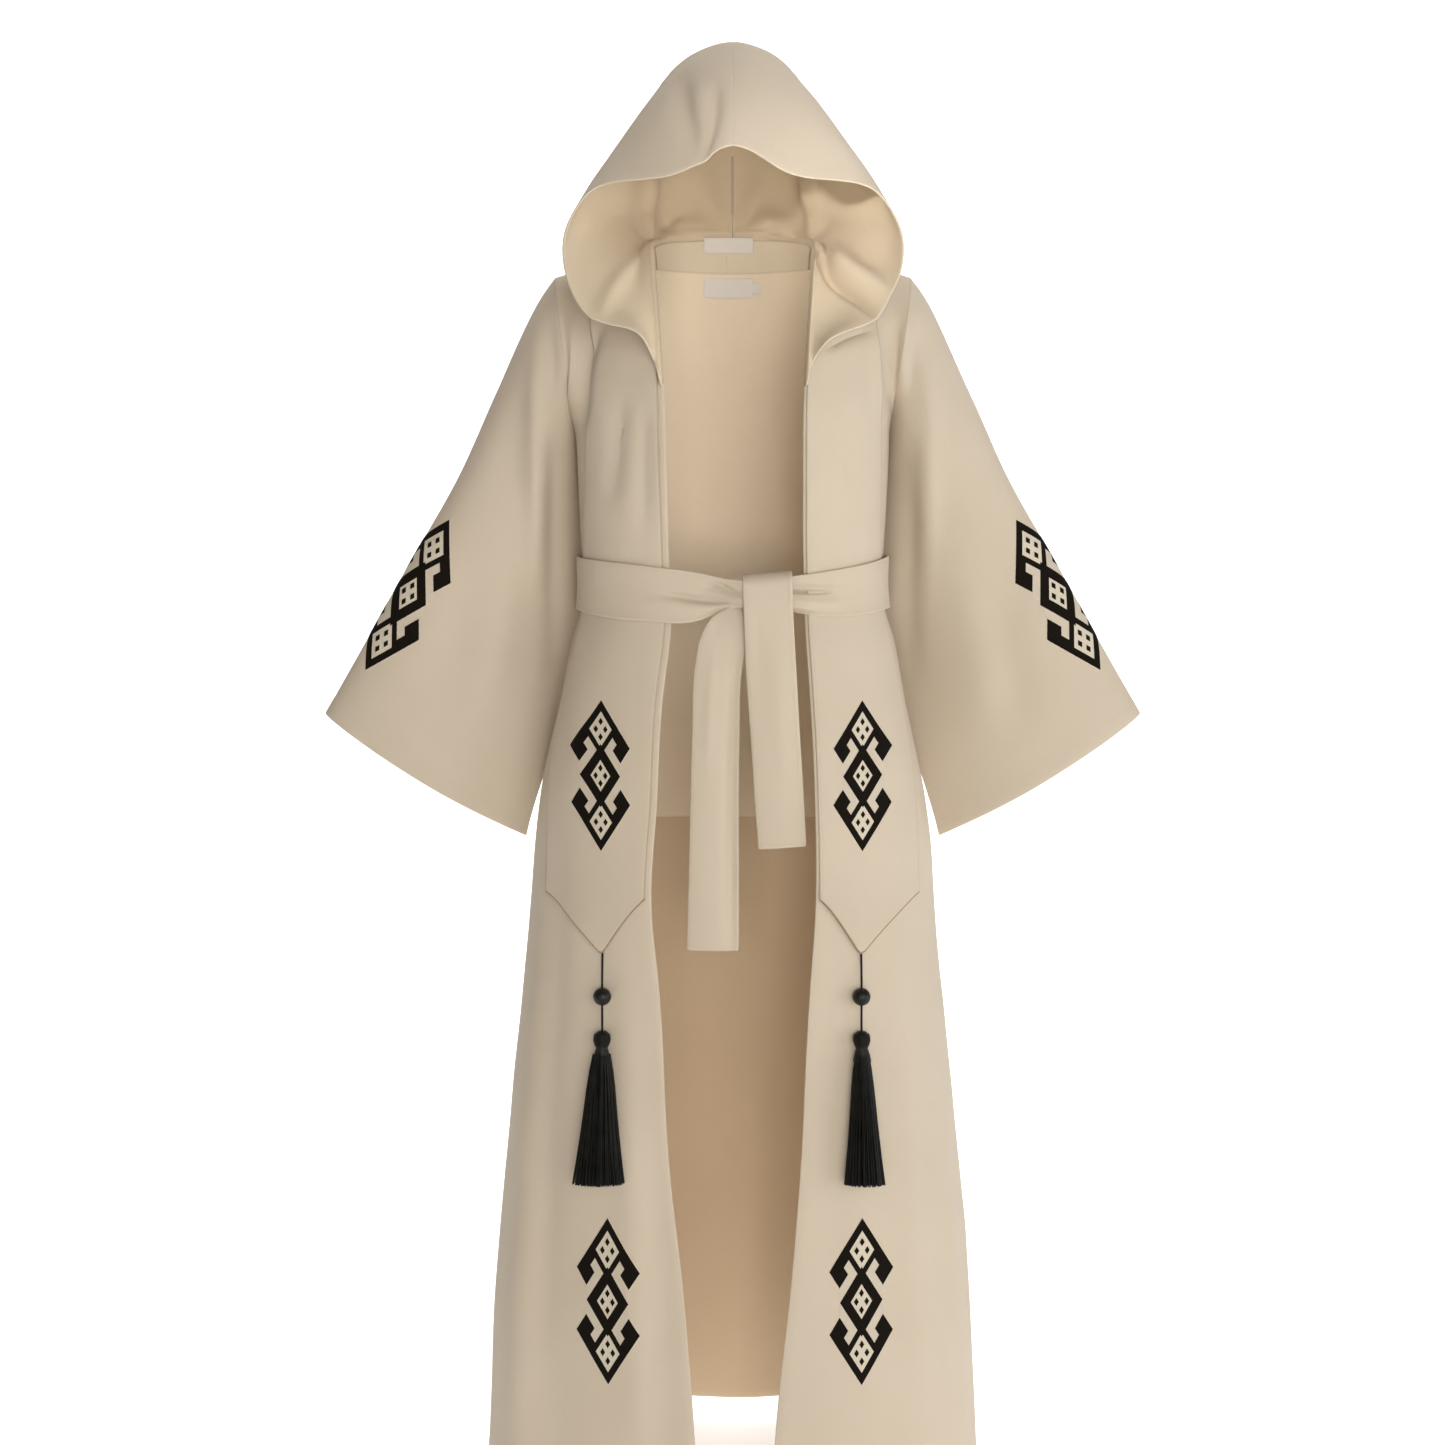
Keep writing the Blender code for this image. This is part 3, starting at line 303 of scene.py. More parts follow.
BACK_FOLDS = fold_table(
    (14, -5, (-150, -70), (-158, -160), (-152, -270)),
    (13, 3.4, (-120, -110), (-127, -240)),
    (13, -3.8, (148, -80), (157, -150), (150, -250)),
    (12, 2.6, (118, -120), (124, -215)),
    (16, -2.4, (-45, -150), (-52, -330)),
    (18, 2, (30, -200), (36, -345)),
    (13, -3.4, (-90, -415), (-98, -560)),
    (14, -4, (55, -415), (62, -610)),
    (12, -2.6, (-20, -415), (-22, -520)),
    (13, -3, (122, -415), (132, -540)),
    (24, 3.6, (-150, -700), (-165, -1100), (-170, -1500)),
    (22, -3.6, (20, -800), (28, -1150), (30, -1500)),
)
SLEEVE_FOLDS = {
    -1: fold_table(
        (11, -6, (-206, -30), (-200, -180)),
        (11, 8.5, (-222, -60), (-226, -200), (-230, -420)),
        (12, -9, (-197, -160), (-203, -300), (-214, -520)),
        (24, 4, (-255, -280), (-290, -560)),
        (26, -3.6, (-300, -330), (-345, -580)),
        (20, -3, (-245, -120), (-262, -300)),
    ),
    1: fold_table(
        (11, -4.5, (204, -40), (201, -190)),
        (12, 6, (222, -80), (226, -220), (229, -400)),
        (13, -7, (196, -180), (203, -320), (214, -530)),
        (26, 3.6, (262, -300), (300, -590)),
        (24, -3.4, (305, -360), (340, -570)),
    ),
}
SASH_FOLDS = fold_table(
    (2.4, -6, (-36, -370), (-15, -381.5), (10, -392.5)),
    (2, -5.6, (-24, -369), (-6, -379), (12, -390)),
    (3.4, 4, (-34, -377.5), (-8, -385.5), (10, -393)),
    (3.8, -5.6, (-90, -383), (-30, -392.5), (16, -395)),
    (9, 2.4, (-110, -390), (-40, -400), (6, -399)),
    (2.6, -4, (-44, -409), (-12, -403), (10, -396.5)),
    (2, -6.4, (46, -382.4), (78, -383.2), (118, -383.8)),
    (3.6, 2.2, (50, -378), (86, -379), (125, -380)),
    (2.2, -5.6, (46, -399), (70, -404), (94, -407)),
    (6, 2.6, (52, -392), (90, -395), (130, -396)),
)
LONG_END_FOLDS = fold_table(
    (7.5, -7.5, (7, -415), (1, -560), (-1, -840)),
    (3, -1.6, (-22, -412), (-16, -432)),
    (6, 1.4, (-22, -430), (-30, -600)),
)
SHORT_END_FOLDS = fold_table(
    (7, -1, (26, -380), (34, -560)),
    (8, 1, (50, -400), (58, -640)),
)
HOOD_FOLDS = {
    -1: fold_table(
        (50, -11.5, (-55, 35, 252), (-95, 35, 220), (-128, 30, 165), (-165, 30, 80), (-185, 20, 30)),
        (13, -8.5, (-57, 0, 216), (-57, -45, 176), (-46, -88, 120), (-44, -120, 80)),
        (8.5, -8, (-20, -35, 200), (-22.6, -83, 143.5), (-34, -108, 105), (-46, -130, 70)),
        (10, 4.5, (-38, -10, 200), (-38, -80, 137)),
        (12, -11, (-88, 86, 120), (-100, 72, 73), (-103, 52, 40), (-98, 20, 4)),
        (6, 4, (-94, 70, 30), (-74, 89, 49), (-57, 104, 65)),
        (14, -5, (-86, 85, 45), (-45, 106, 42), (-20, 103, 46)),
        (10, -6, (-91, -10, 22), (-114.5, -62.5, -16), (-130.5, -87.5, -38), (-156, -136, -96)),
    ),
    1: fold_table(
        (50, -10.5, (50, 35, 252), (85, 35, 225), (115, 30, 172), (140, 30, 110), (162, 25, 65)),
        (13, -12, (80, 99, 122), (93, 82, 74), (99, 62, 45), (95, 24, 10)),
        (6, 5, (18, 100, 46), (50, 90, 32), (82, 60, 22)),
        (15, -8, (20, 103, 60), (50, 98, 48), (80, 74, 40)),
        (14.5, -18, (94, 0, 46), (114, -58, 4), (125, -73, -16), (137.5, -83, -29), (152, -93.5, -39),
         (186, -120, -70)),
        (5.5, 12.5, (86, -10, 20), (102.5, -67, -15.5), (111, -82, -34.6), (124.1, -92.6, -47.7),
         (138.2, -102.5, -57.3), (166, -130, -88)),
    ),
}

# A faint unevenness of all cloth: waves with their own direction, height and length.
Wave = namedtuple("Wave", "length height direction")
WAVES = [
    Wave(0.143, 0.00045, (0.9, 0.2, 0.35)),
    Wave(0.097, 0.00030, (-0.5, 0.6, 0.62)),
    Wave(0.061, 0.00016, (0.7, -0.4, -0.58)),
    Wave(0.211, 0.00060, (0.2, 0.3, 0.93)),
]

# A turned edge: how wide it is, how much thicker the cloth is there, and how soon that fades.
TURNING = 0.0150
TURNING_THICK = 0.0006
TURNING_STEP = 0.0025
RIM_PLACES = 3
SEAM_SINK = 0.75
FAR_OFF = 1.0
# Painted shade: how much fainter it is along the side edges given it, and the line down the neck facing's
# middle seam where it is also painted
SIDE_SHADE_FAINTER = 0.0010
FACING_SEAM = [(-0.0075, 0.010), (-0.0080, -0.004), (-0.0075, -0.020)]

# Sewing thread
STITCH = 0.0026
STITCH_PITCH = 0.0036
STITCH_RADIUS = 0.00022
FRONT_STITCH_IN = 0.0065
NARROW_STITCH_IN = 0.0030

# The motif, charted on its own slanting grid: u runs down to the right and v down to the left. Each row
# fills a block from its first u and v to its last, over the rows above it.
Block = namedtuple("Block", "u v last_u last_v yarn")
EDGE, DARK, PALE, DOT = range(4)
MOTIF_SIDE = 13.4
MOTIF_REACH = 8.4
MOTIF_RIM = 0.2
ARM = [
    Block(0.0, 0.0, 5.0, 5.0, DARK),
    Block(0.0, 5.0, 1.6, 6.3, DARK),
    Block(0.0, 6.2, 2.7, 8.4, DARK),
    Block(1.6, 5.0, 3.9, 6.2, EDGE),
    Block(2.7, 5.0, 3.9, 9.2, EDGE),
    Block(1.0, 1.0, 4.2, 4.2, PALE),
]
MIDDLE = [
    Block(3.9, 3.9, 9.5, 9.5, DARK),
    Block(5.3, 5.3, 8.1, 8.1, PALE),
]
LOZENGE_MIDDLES = (2.6, 6.7, 10.8)
DOT_OFF = 0.68
DOT_SIDE = 0.66
MOTIF_CELL = 0.30

# Each yarn's height on the cloth, in the order above, and which of the motif's three materials it has
YARN_HEIGHT = np.array([0.00030, 0.00060, 0.00045, 0.00080])
YARN_LOOK = np.array([0, 1, 2, 1])
MOTIF_ROOT = -0.0004

# Where each motif's top lies on its cloth, and its size
Motif = namedtuple("Motif", "x z width length")
UPPER_MOTIF = {-1: Motif(0.1475, -0.504, 0.0655, 0.173), 1: Motif(0.1440, -0.504, 0.0655, 0.173)}
LOWER_MOTIF = {-1: Motif(0.1420, -1.088, 0.0740, 0.198), 1: Motif(0.1460, -1.088, 0.0740, 0.199)}
SLEEVE_MOTIF = Motif(0.0170, 0.296, 0.0750, 0.207)
SLEEVE_LENGTH = 0.571
ARC_WEIGHT = 0.55

# Tassels and cords: their strands, plies and windings, with places as shares of the radius
STRANDS = 420
STRAND_PLACES = 9
STRAND_RADIUS = 0.00062
SKIRT = table("drop reach", 2, [
    (0, 0.34), (0.06, 0.4), (0.14, 0.47), (0.5, 0.68), (0.85, 0.9), (1, 1),
])
SKIRT_NARROWER = {-1: 0.98, 1: 0.78}
CORD_PITCH = 0.0055
CORD_PLACES = 60
PLY_OFF = 0.48
PLY_RADIUS = 0.56
BEAD_HOLE_AT = 0.8
BEAD_HOLE_TURN = 0.12
BEAD_RINGS = 25
BEAD_SIDES = 96
BEAD_RIDGE = 0.012
HEAD_SINK = 0.001
HEAD_CORE = 0.97
HEAD_SIDES = 48
HEAD_RIDGE = 0.02
WINDINGS = 11
WINDING_TOP = -0.0035
WINDING_STEP = 0.0012
WINDING_SLANT = 0.0002
WINDING_PLACES = 49

# Colours of the cloth and trimmings (linear RGB)
ROBE = (0.640, 0.555, 0.450)
ROBE_SLUB = (0.605, 0.520, 0.412)
# The inner sides are the robe's own cloth, painted lighter and warmer than outside: painted light where
# little light reaches in, with warm painted shade
PAINTED_HOOD_INSIDE = (0.750, 0.630, 0.470)
PAINTED_HOOD_INSIDE_SLUB = (0.715, 0.595, 0.435)
PAINTED_INSIDE = (0.745, 0.590, 0.420)
PAINTED_INSIDE_SLUB = (0.710, 0.555, 0.385)
LINING = (0.920, 0.800, 0.630)
LINING_SLUB = (0.890, 0.765, 0.595)
TAPE = (0.860, 0.820, 0.790)
TAPE_SLUB = (0.810, 0.770, 0.740)
# The facing is the lining's cloth, painted darker to take back the extra light of the lamp above the hood:
# painted shade
PAINTED_SHADE_FACING = (0.800, 0.700, 0.550)
PAINTED_SHADE_FACING_SLUB = (0.770, 0.670, 0.520)
# Painted shade along seams and shaded edges: its dark colour, how far from the edge it is full, and where it
# has faded out
PAINTED_SEAM_SHADE = (0.230, 0.150, 0.085)
PAINTED_SHADE_LINE = 0.0005
PAINTED_SHADE_FADE = 0.0017
THREAD = (0.560, 0.440, 0.318)
YARN_DARK = (0.0060, 0.0044, 0.0032)
YARN_WORN = (0.0120, 0.0085, 0.0060)
YARN_PALE = (0.760, 0.710, 0.580)
YARN_EDGE = (0.680, 0.615, 0.500)
TASSEL = (0.0030, 0.0028, 0.0023)
# Lighter flecks: painted shine in streaks down the tassels' strands, and the fine grain of the beads
PAINTED_SHINE_AND_GRAIN = (0.0100, 0.0110, 0.0085)
BEAD = (0.0032, 0.0030, 0.0026)
STAGE = (0.90, 0.90, 0.895)


def smooth(xs, ys, at):
    """A smooth curve through some values, read at the places given."""
    order = np.argsort(xs)
    xs, ys = np.asarray(xs, float)[order], np.asarray(ys, float)[order]
    slopes = np.gradient(ys, xs, axis=0)
    at = np.clip(np.asarray(at, float), xs[0], xs[-1])
    i = np.clip(np.searchsorted(xs, at) - 1, 0, len(xs) - 2)
    step = xs[i + 1] - xs[i]
    t = (at - xs[i]) / step
    if ys.ndim > 1:
        step, t = step[..., None], t[..., None]
    rise = (2 * t**3 - 3 * t**2 + 1) * ys[i] + (3 * t**2 - 2 * t**3) * ys[i + 1]
    return rise + step * ((t**3 - 2 * t**2 + t) * slopes[i] + (t**3 - t**2) * slopes[i + 1])


def read(rows, name, at):
    """One column of a table as a smooth curve through its first, read at the places given."""
    return smooth([row[0] for row in rows], [getattr(row, name) for row in rows], at)


def read_all(rows, at):
    return [read(rows, name, at) for name in rows[0]._fields[1:]]


def unit(ways):
    return ways / np.linalg.norm(ways, axis=-1, keepdims=True)


def reach_in(grid):
    """How far each point lies from the first row of its grid, or from the start of its line."""
    steps = np.linalg.norm(np.diff(grid, axis=0), axis=-1)
    return np.concatenate([np.zeros_like(steps[:1]), np.cumsum(steps, axis=0)])


def ease(t):
    t = np.clip(t, 0, 1)
    return t * t * (3 - 2 * t)


def bezier(a, b, c, d, t):
    t = np.asarray(t)[..., None]
    return a * (1 - t) ** 3 + 3 * b * t * (1 - t) ** 2 + 3 * c * t**2 * (1 - t) + d * t**3


def points(x, y, z):
    return np.stack(np.broadcast_arrays(x, y, z), axis=-1).astype(float)


def across(angle):
    """How far out a rounded section reaches at an angle from the middle of the front, from 0 to 1."""
    return (np.sin(angle) + SQUARE * np.sin(3 * angle)) / (1 - SQUARE)


def forward(angle):
    """How far forward the same section reaches, from 1 at the front to -1 at the back."""
    return (np.cos(angle) - SQUARE * np.cos(3 * angle)) / (1 - SQUARE)


def angle_at(share):
    """The angle in the front quarter whose section reaches out by this share of the half width."""
    angles = np.linspace(0, pi / 2, 400)
    return np.interp(share, across(angles), angles)


def body(z, angle, clear=0.0):
    """A point of the body's surface, moved out by clear. Angles over 90 degrees lie on the back."""
    half, front, back = read_all(BODY, z)
    depth = np.where(np.abs(angle) <= pi / 2, front, back)
    out = clear
    for row in FLUTES:
        off = (np.degrees(angle) - row.angle + 180) % 360 - 180
        ramp = ease((np.asarray(z) - row.start) / (row.full - row.start))
        out = out + row.depth * ramp * np.exp(-((off / row.width) ** 2))
    turn = unit(np.stack(np.broadcast_arrays(across(angle) * depth, -forward(angle) * half), axis=-1))
    return points(half * across(angle) + out * turn[..., 0], -depth * forward(angle) + out * turn[..., 1], z)


def height_at(down):
    return UNDERARM_Z + (HEM_Z - UNDERARM_Z) * np.maximum(down - 1, 0)


def mirrored(side, made):
    return made * np.array([side, 1, 1])


def rise_at(angle):
    """How far up its section an armhole or a sleeve reaches at an angle from the fold under it."""
    return np.where(angle < pi / 2, angle / pi, 0.5 + 0.5 * np.sin(angle - pi / 2))


def armhole(turn, front):
    """The right armhole from the shoulder (turn 0) down to the underarm (turn 1), before or behind."""
    angle = pi * (1 - turn)
    depth = -ARMHOLE_FRONT if front else ARMHOLE_BACK
    return UNDERARM + (SHOULDER - UNDERARM) * rise_at(angle)[..., None] + points(0, depth * np.sin(angle), 0)


def upper(down, share, top, over, chest, front):
    """The right side's yoke: a curve from each point of the top edge to the chest, eased to the armhole."""
    made = bezier(top, over, chest + CHEST_LEAD, chest, down)
    at_side = bezier(SHOULDER, SHOULDER, UNDERARM + CHEST_LEAD, UNDERARM, down)
    return made + (armhole(down, front) - at_side) * share[..., None] ** 3


def opening(side, z):
    """Half the body's width at a height, and the angle round it of a front's opening edge."""
    half = read(BODY, "half", z)
    return half, angle_at(read(OPENING, SIDES[side], z) / half)


def share_at(side, z, x):
    """The share of a front at a height and this far from the middle."""
    half, first = opening(side, z)
    return (angle_at(x / half) - first) / (pi / 2 - first)


def front_surface(side, down, share):
    """A front. Down is 0 at the shoulder, 1 at the underarm and 2 at the hem, share 0 at the opening."""
    z = height_at(down)
    first = opening(side, z)[1]
    angle = first + (pi / 2 - first) * share
    chest = body(UNDERARM_Z, angle)
    top = NECK_SHOULDER + (SHOULDER - NECK_SHOULDER) * share[..., None]
    over = top + points(0, FRONT_LEAD * (chest[..., 1] - top[..., 1]), 0)
    high = mirrored(side, upper(np.clip(down, 0, 1), share, top, over, chest, True))
    return np.where((down > 1)[..., None], body(z, side * angle), high)


def neckline(turn):
    """The back neck from the nape (turn 0) to the shoulder seam (turn 1)."""
    angle = pi - turn * pi / 2
    return points(NECK_SHOULDER[0] * across(angle), -NAPE_BACK * forward(angle),
                  NECK_SHOULDER[2] - NAPE_RISE * forward(angle))


def back_surface(down, share):
    """The back: share is 0 in the middle, -1 and 1 at the sides, and the neckline ends at NECK_SHARE."""
    side, reach = np.where(share < 0, -1.0, 1.0), np.abs(share)
    angle = pi - reach * pi / 2
    seam = (reach - NECK_SHARE) / (1 - NECK_SHARE)
    top = np.where((reach <= NECK_SHARE)[..., None], neckline(np.clip(reach / NECK_SHARE, 0, 1)),
                   NECK_SHOULDER + (SHOULDER - NECK_SHOULDER) * seam[..., None])
    over, chest = points(*read_all(YOKE, reach)), body(UNDERARM_Z, angle)
    high = points(side, 1, 1) * upper(np.clip(down, 0, 1), reach, top, over, chest, False)
    return np.where((down > 1)[..., None], body(height_at(down), side * angle), high)


def down_at(z):
    return 1 + (z - UNDERARM_Z) / (HEM_Z - UNDERARM_Z)


def body_rows():
    below = np.linspace(1, 2, round((UNDERARM_Z - HEM_Z) / BODY_ROW) + 1)[1:]
    return np.concatenate([np.arange(ARMHOLE_STEPS + 1) / ARMHOLE_STEPS, below])


def back_shares():
    neck = np.linspace(0, NECK_SHARE, BACK_NECK_COLUMNS + 1)
    seam = np.linspace(NECK_SHARE, 1, FRONT_COLUMNS + 1)[1:]
    half = np.concatenate([neck, seam])
    return np.concatenate([-half[:0:-1], half])


# Folds and lifting

def fold_line(route):
    """A fold's few places as a smooth line of many."""
    reach = reach_in(route)
    return smooth(reach, route, np.linspace(0, reach[-1], FOLD_PLACES))


def line_reach(line, places):
    """How far some places are from a line, and how far along it, from 0 to 1, the nearest point is."""
    seen = places if line.shape[1] == 3 else places[..., [0, 2]]
    nearest = np.full(places.shape[:-1], np.inf)
    along = np.zeros(places.shape[:-1])
    for k, (start, span) in enumerate(zip(line, np.diff(line, axis=0))):
        share = np.clip(((seen - start) @ span) / (span @ span), 0, 1)
        away = np.linalg.norm(seen - start - share[..., None] * span, axis=-1)
        along = np.where(away < nearest, (k + share) / (len(line) - 1), along)
        nearest = np.minimum(nearest, away)
    return nearest, along


def relief(folds, places):
    """How far a list of folds lifts the cloth at some places."""
    total = np.zeros(places.shape[:-1])
    for row in folds:
        nearest, along = line_reach(fold_line(row.route), places)
        fade = ease(along / FOLD_FADE) * ease((1 - along) / FOLD_FADE)
        total += row.depth * fade * np.exp(-((nearest / row.width) ** 2))
    return total


def unevenness(places):
    """The faint waves of all cloth at some places."""
    return sum(row.height * np.sin(places @ np.array(row.direction) * 2 * pi / row.length) for row in WAVES)


def lifted(surface, turn, first, second, out):
    """Points of a surface moved out along its own normals. Turn is 1 or -1, the way that they point."""
    step = 1e-4
    along = surface(first + step, second) - surface(first - step, second)
    beside = surface(first, second + step) - surface(first, second - step)
    return surface(first, second) + turn * unit(np.cross(along, beside)) * np.asarray(out)[..., None]


def front_form(side, down, share):
    """A front with its folds, which die out at its seams."""
    plain = partial(front_surface, side)
    places = plain(down, share)
    seams = ease((1 - share) / SEAM_CALM) * ease(down / SEAM_CALM)
    neck = (1 - ease(share / SEAM_CALM)) * (1 - ease((down - NECK_STEPS / ARMHOLE_STEPS) / SEAM_CALM))
    out = (relief(FRONT_FOLDS[side], places) + unevenness(places)) * seams * (1 - neck)
    return lifted(plain, side, down, share, out)


def back_form(down, share):
    """The back with its folds, which die out at its seams."""
    places = back_surface(down, share)
    calm = ease((1 - np.abs(share)) / SEAM_CALM) * ease(down / SEAM_CALM)
    return lifted(back_surface, -1, down, share, (relief(BACK_FOLDS, places) + unevenness(places)) * calm)


def lifted_front(side, down, share, out):
    return lifted(partial(front_form, side), side, down, share, out)


# Walls of cloth

panels = {}


def grid_normals(grid, ring, tip):
    along = np.gradient(grid, axis=0)
    beside = np.roll(grid, -1, axis=1) - np.roll(grid, 1, axis=1) if ring else np.gradient(grid, axis=1)
    if tip:
        along[-1] = along[-2]
        beside[-1] = beside[-2]
    return unit(np.cross(along, beside))


def panel(name, grid, thickness=CLOTH, ring=False, tip=False, sewn=True, inside=(0, 0, None), folds=(),
          turned=(), across=(), painted_shade_edges=()):
    """Keeps a piece's grid until every piece is known, so that seams can share their mitre. Its normals
    point away from the place inside, whose height is each point's own unless it is given."""
    normal = grid_normals(grid, ring, tip)
    x, y, z = inside
    centre = grid.mean(axis=1, keepdims=True) if ring else points(x, y, grid[..., 2] if z is None else z)
    facing = 1 if ((grid - centre) * normal).sum() > 0 else -1
    if folds:
        grid = grid + facing * normal * relief(folds, grid)[..., None]
        normal = grid_normals(grid, ring, tip)
    panels[name] = SimpleNamespace(name=name, grid=grid.copy(), normal=facing * normal, thickness=thickness,
                                   ring=ring, tip=tip, sewn=sewn, turned=turned, across=across, painted_shade_edges=painted_shade_edges,
                                   seams=np.zeros(grid.shape[:2], bool))


def boundary(made):
    """The wall's edges as closed loops of places, each with the place just inside it."""
    rows, columns = made.grid.shape[:2]
    top = [(0, j, 1, j) for j in range(columns)]
    low = [(rows - 1, j, rows - 2, j) for j in range(columns)]
    if made.ring:
        return [top, low]
    right = [(i, columns - 1, i, columns - 2) for i in range(rows - 1)]
    left = [(i, 0, i, 1) for i in range(rows - 1, 0, -1)]
    return [top[:-1] + right + low[:0:-1] + left]


def sew():
    """Gives the points that pieces share one mitred normal, and draws each piece back from the seam."""
    rims = [(made, spot[:2]) for made in panels.values() if made.sewn for loop in boundary(made)
            for spot in loop]
    tree = KDTree(len(rims))
    for index, (made, place) in enumerate(rims):
        tree.insert(made.grid[place], index)
    tree.balance()
    changes = []
    for made, place in rims:
        near = [rims[index] for _, index, _ in tree.find_range(made.grid[place], SAME_PLACE)]
        if len({other.name for other, _ in near}) < 2:
            continue
        total = sum(other.normal[spot] for other, spot in near)
        width = np.linalg.norm(total)
        mitre = total * len(near) / max(width, LEAST_MITRE * len(near)) ** 2
        draw = 0.5 * SEAM_GAP * min(len(near) / width, MOST_DRAW)
        (rows, columns), (i, j) = made.grid.shape[:2], place
        steps = []
        if i in (0, rows - 1):
            steps.append((1 if i == 0 else rows - 2, j))
        if j in (0, columns - 1) and not made.ring:
            steps.append((i, 1 if j == 0 else columns - 2))
        shift = np.zeros(3)
        for spot in steps:
            inward = made.grid[spot] - made.grid[place]
            length = np.linalg.norm(inward)
            if length > SAME_PLACE:
                shift += inward / length * draw
        changes.append((made, place, mitre, shift))
    for made, place, mitre, shift in changes:
        made.normal[place] = mitre
        made.grid[place] += shift
        made.seams[place] = True


def from_edge(values, edge):
    """A piece's rows and columns turned so that the named edge is the first row."""
    if "column" in edge:
        values = values.swapaxes(0, 1)
    return values[::-1] if "last" in edge else values


def thickness_at(made):
    """The cloth's thickness at each point: more where an edge is turned in, less where a seam sinks."""
    thick = np.full(made.grid.shape[:2], made.thickness)
    for edge in made.turned:
        seen = from_edge(thick, edge)
        far = reach_in(from_edge(made.grid, edge))
        np.maximum(seen, made.thickness + TURNING_THICK * ease((TURNING - far) / TURNING_STEP + 1), out=seen)
    thick[made.seams] *= SEAM_SINK
    return thick


def cut_places(made):
    """Each point's place on the flat cloth: across from the first column, and down from the first row."""
    grid = made.grid
    if made.ring:
        grid = np.concatenate([grid, grid[:, :1]], axis=1)
    down = reach_in(grid)
    across_cloth = reach_in(grid.swapaxes(0, 1)).swapaxes(0, 1)
    middle = across_cloth[:, across_cloth.shape[1] // 2][:, None]
    return np.stack([across_cloth - middle, down], axis=-1)


def painted_shade_reach(made):
    """How far each point lies from the nearest sewn or shaded edge, and from the nearest seam across it, for
    the painted shade.
    """
    far = np.full(made.grid.shape[:2], FAR_OFF)
    edges = ("first row", "last row") + (() if made.ring else ("first column", "last column"))
    for edge in edges:
        sewn = from_edge(made.seams, edge)[0] | (edge in made.painted_shade_edges)
        seen = from_edge(far, edge)
        away = np.where(sewn[None], reach_in(from_edge(made.grid, edge)), FAR_OFF)
        if edge in made.painted_shade_edges and "column" in edge:
            away = away + SIDE_SHADE_FAINTER
        np.minimum(seen, away, out=seen)
    if made.across:
        far = np.minimum(far, line_reach(fold_line(made.across), made.grid)[0])
    return np.concatenate([far, far[:, :1]], axis=1) if made.ring else far


def wall_mesh(made):
    """A closed wall of cloth: the grid moved half its thickness to each side, with a round rim. Gives its
    points, faces, places on the flat cloth, and which faces are on the inner side."""
    grid, normal = made.grid, made.normal * thickness_at(made)[..., None] / 2
    if made.tip:
        grid[-1], normal[-1] = grid[-1].mean(axis=0), normal[-1].mean(axis=0)
    rows, columns = grid.shape[:2]
    count = rows * columns
    index = np.arange(count).reshape(rows, columns)
    flat = np.concatenate([cut_places(made), painted_shade_reach(made)[..., None]], axis=-1)
    i, j = np.meshgrid(np.arange(rows - 1), np.arange(columns - (not made.ring)), indexing="ij")
    k = (j + 1) % columns
    quads = np.stack([index[i, j], index[i, k], index[i + 1, k], index[i + 1, j]], axis=-1).reshape(-1, 4)
    corners = np.stack([flat[i, j], flat[i, j + 1], flat[i + 1, j + 1], flat[i + 1, j]], axis=-2)
    corners = corners.reshape(-1, 4, 3)
    verts = [(grid + normal).reshape(-1, 3), (grid - normal).reshape(-1, 3)]
    faces, places = [quads, quads[:, ::-1] + count], [corners, corners[:, ::-1]]
    total = 2 * count
    for loop in boundary(made):
        i, j, inner_i, inner_j = np.array(loop).T
        here, lift, out = grid[i, j], normal[i, j], grid[i, j] - grid[inner_i, inner_j]
        out /= np.maximum(np.linalg.norm(out, axis=1, keepdims=True), SAME_PLACE)
        bulge = np.linalg.norm(lift, axis=1, keepdims=True) * ~made.seams[i, j][:, None]
        rings = [index[i, j]]
        for turn in np.linspace(0, pi, RIM_PLACES + 2)[1:-1]:
            verts.append(here + lift * np.cos(turn) + out * bulge * np.sin(turn))
            rings.append(total + np.arange(len(i)))
            total += len(i)
        rings.append(index[i, j] + count)
        place = flat[i, j]
        after = np.roll(place, -1, axis=0)
        for one, two in zip(rings, rings[1:]):
            faces.append(np.stack([one, np.roll(one, -1), np.roll(two, -1), two], axis=-1))
            places.append(np.stack([place, after, after, place], axis=-2))
    faces = np.concatenate(faces)
    return np.concatenate(verts), faces, np.concatenate(places), np.arange(len(faces)) // len(quads) == 1


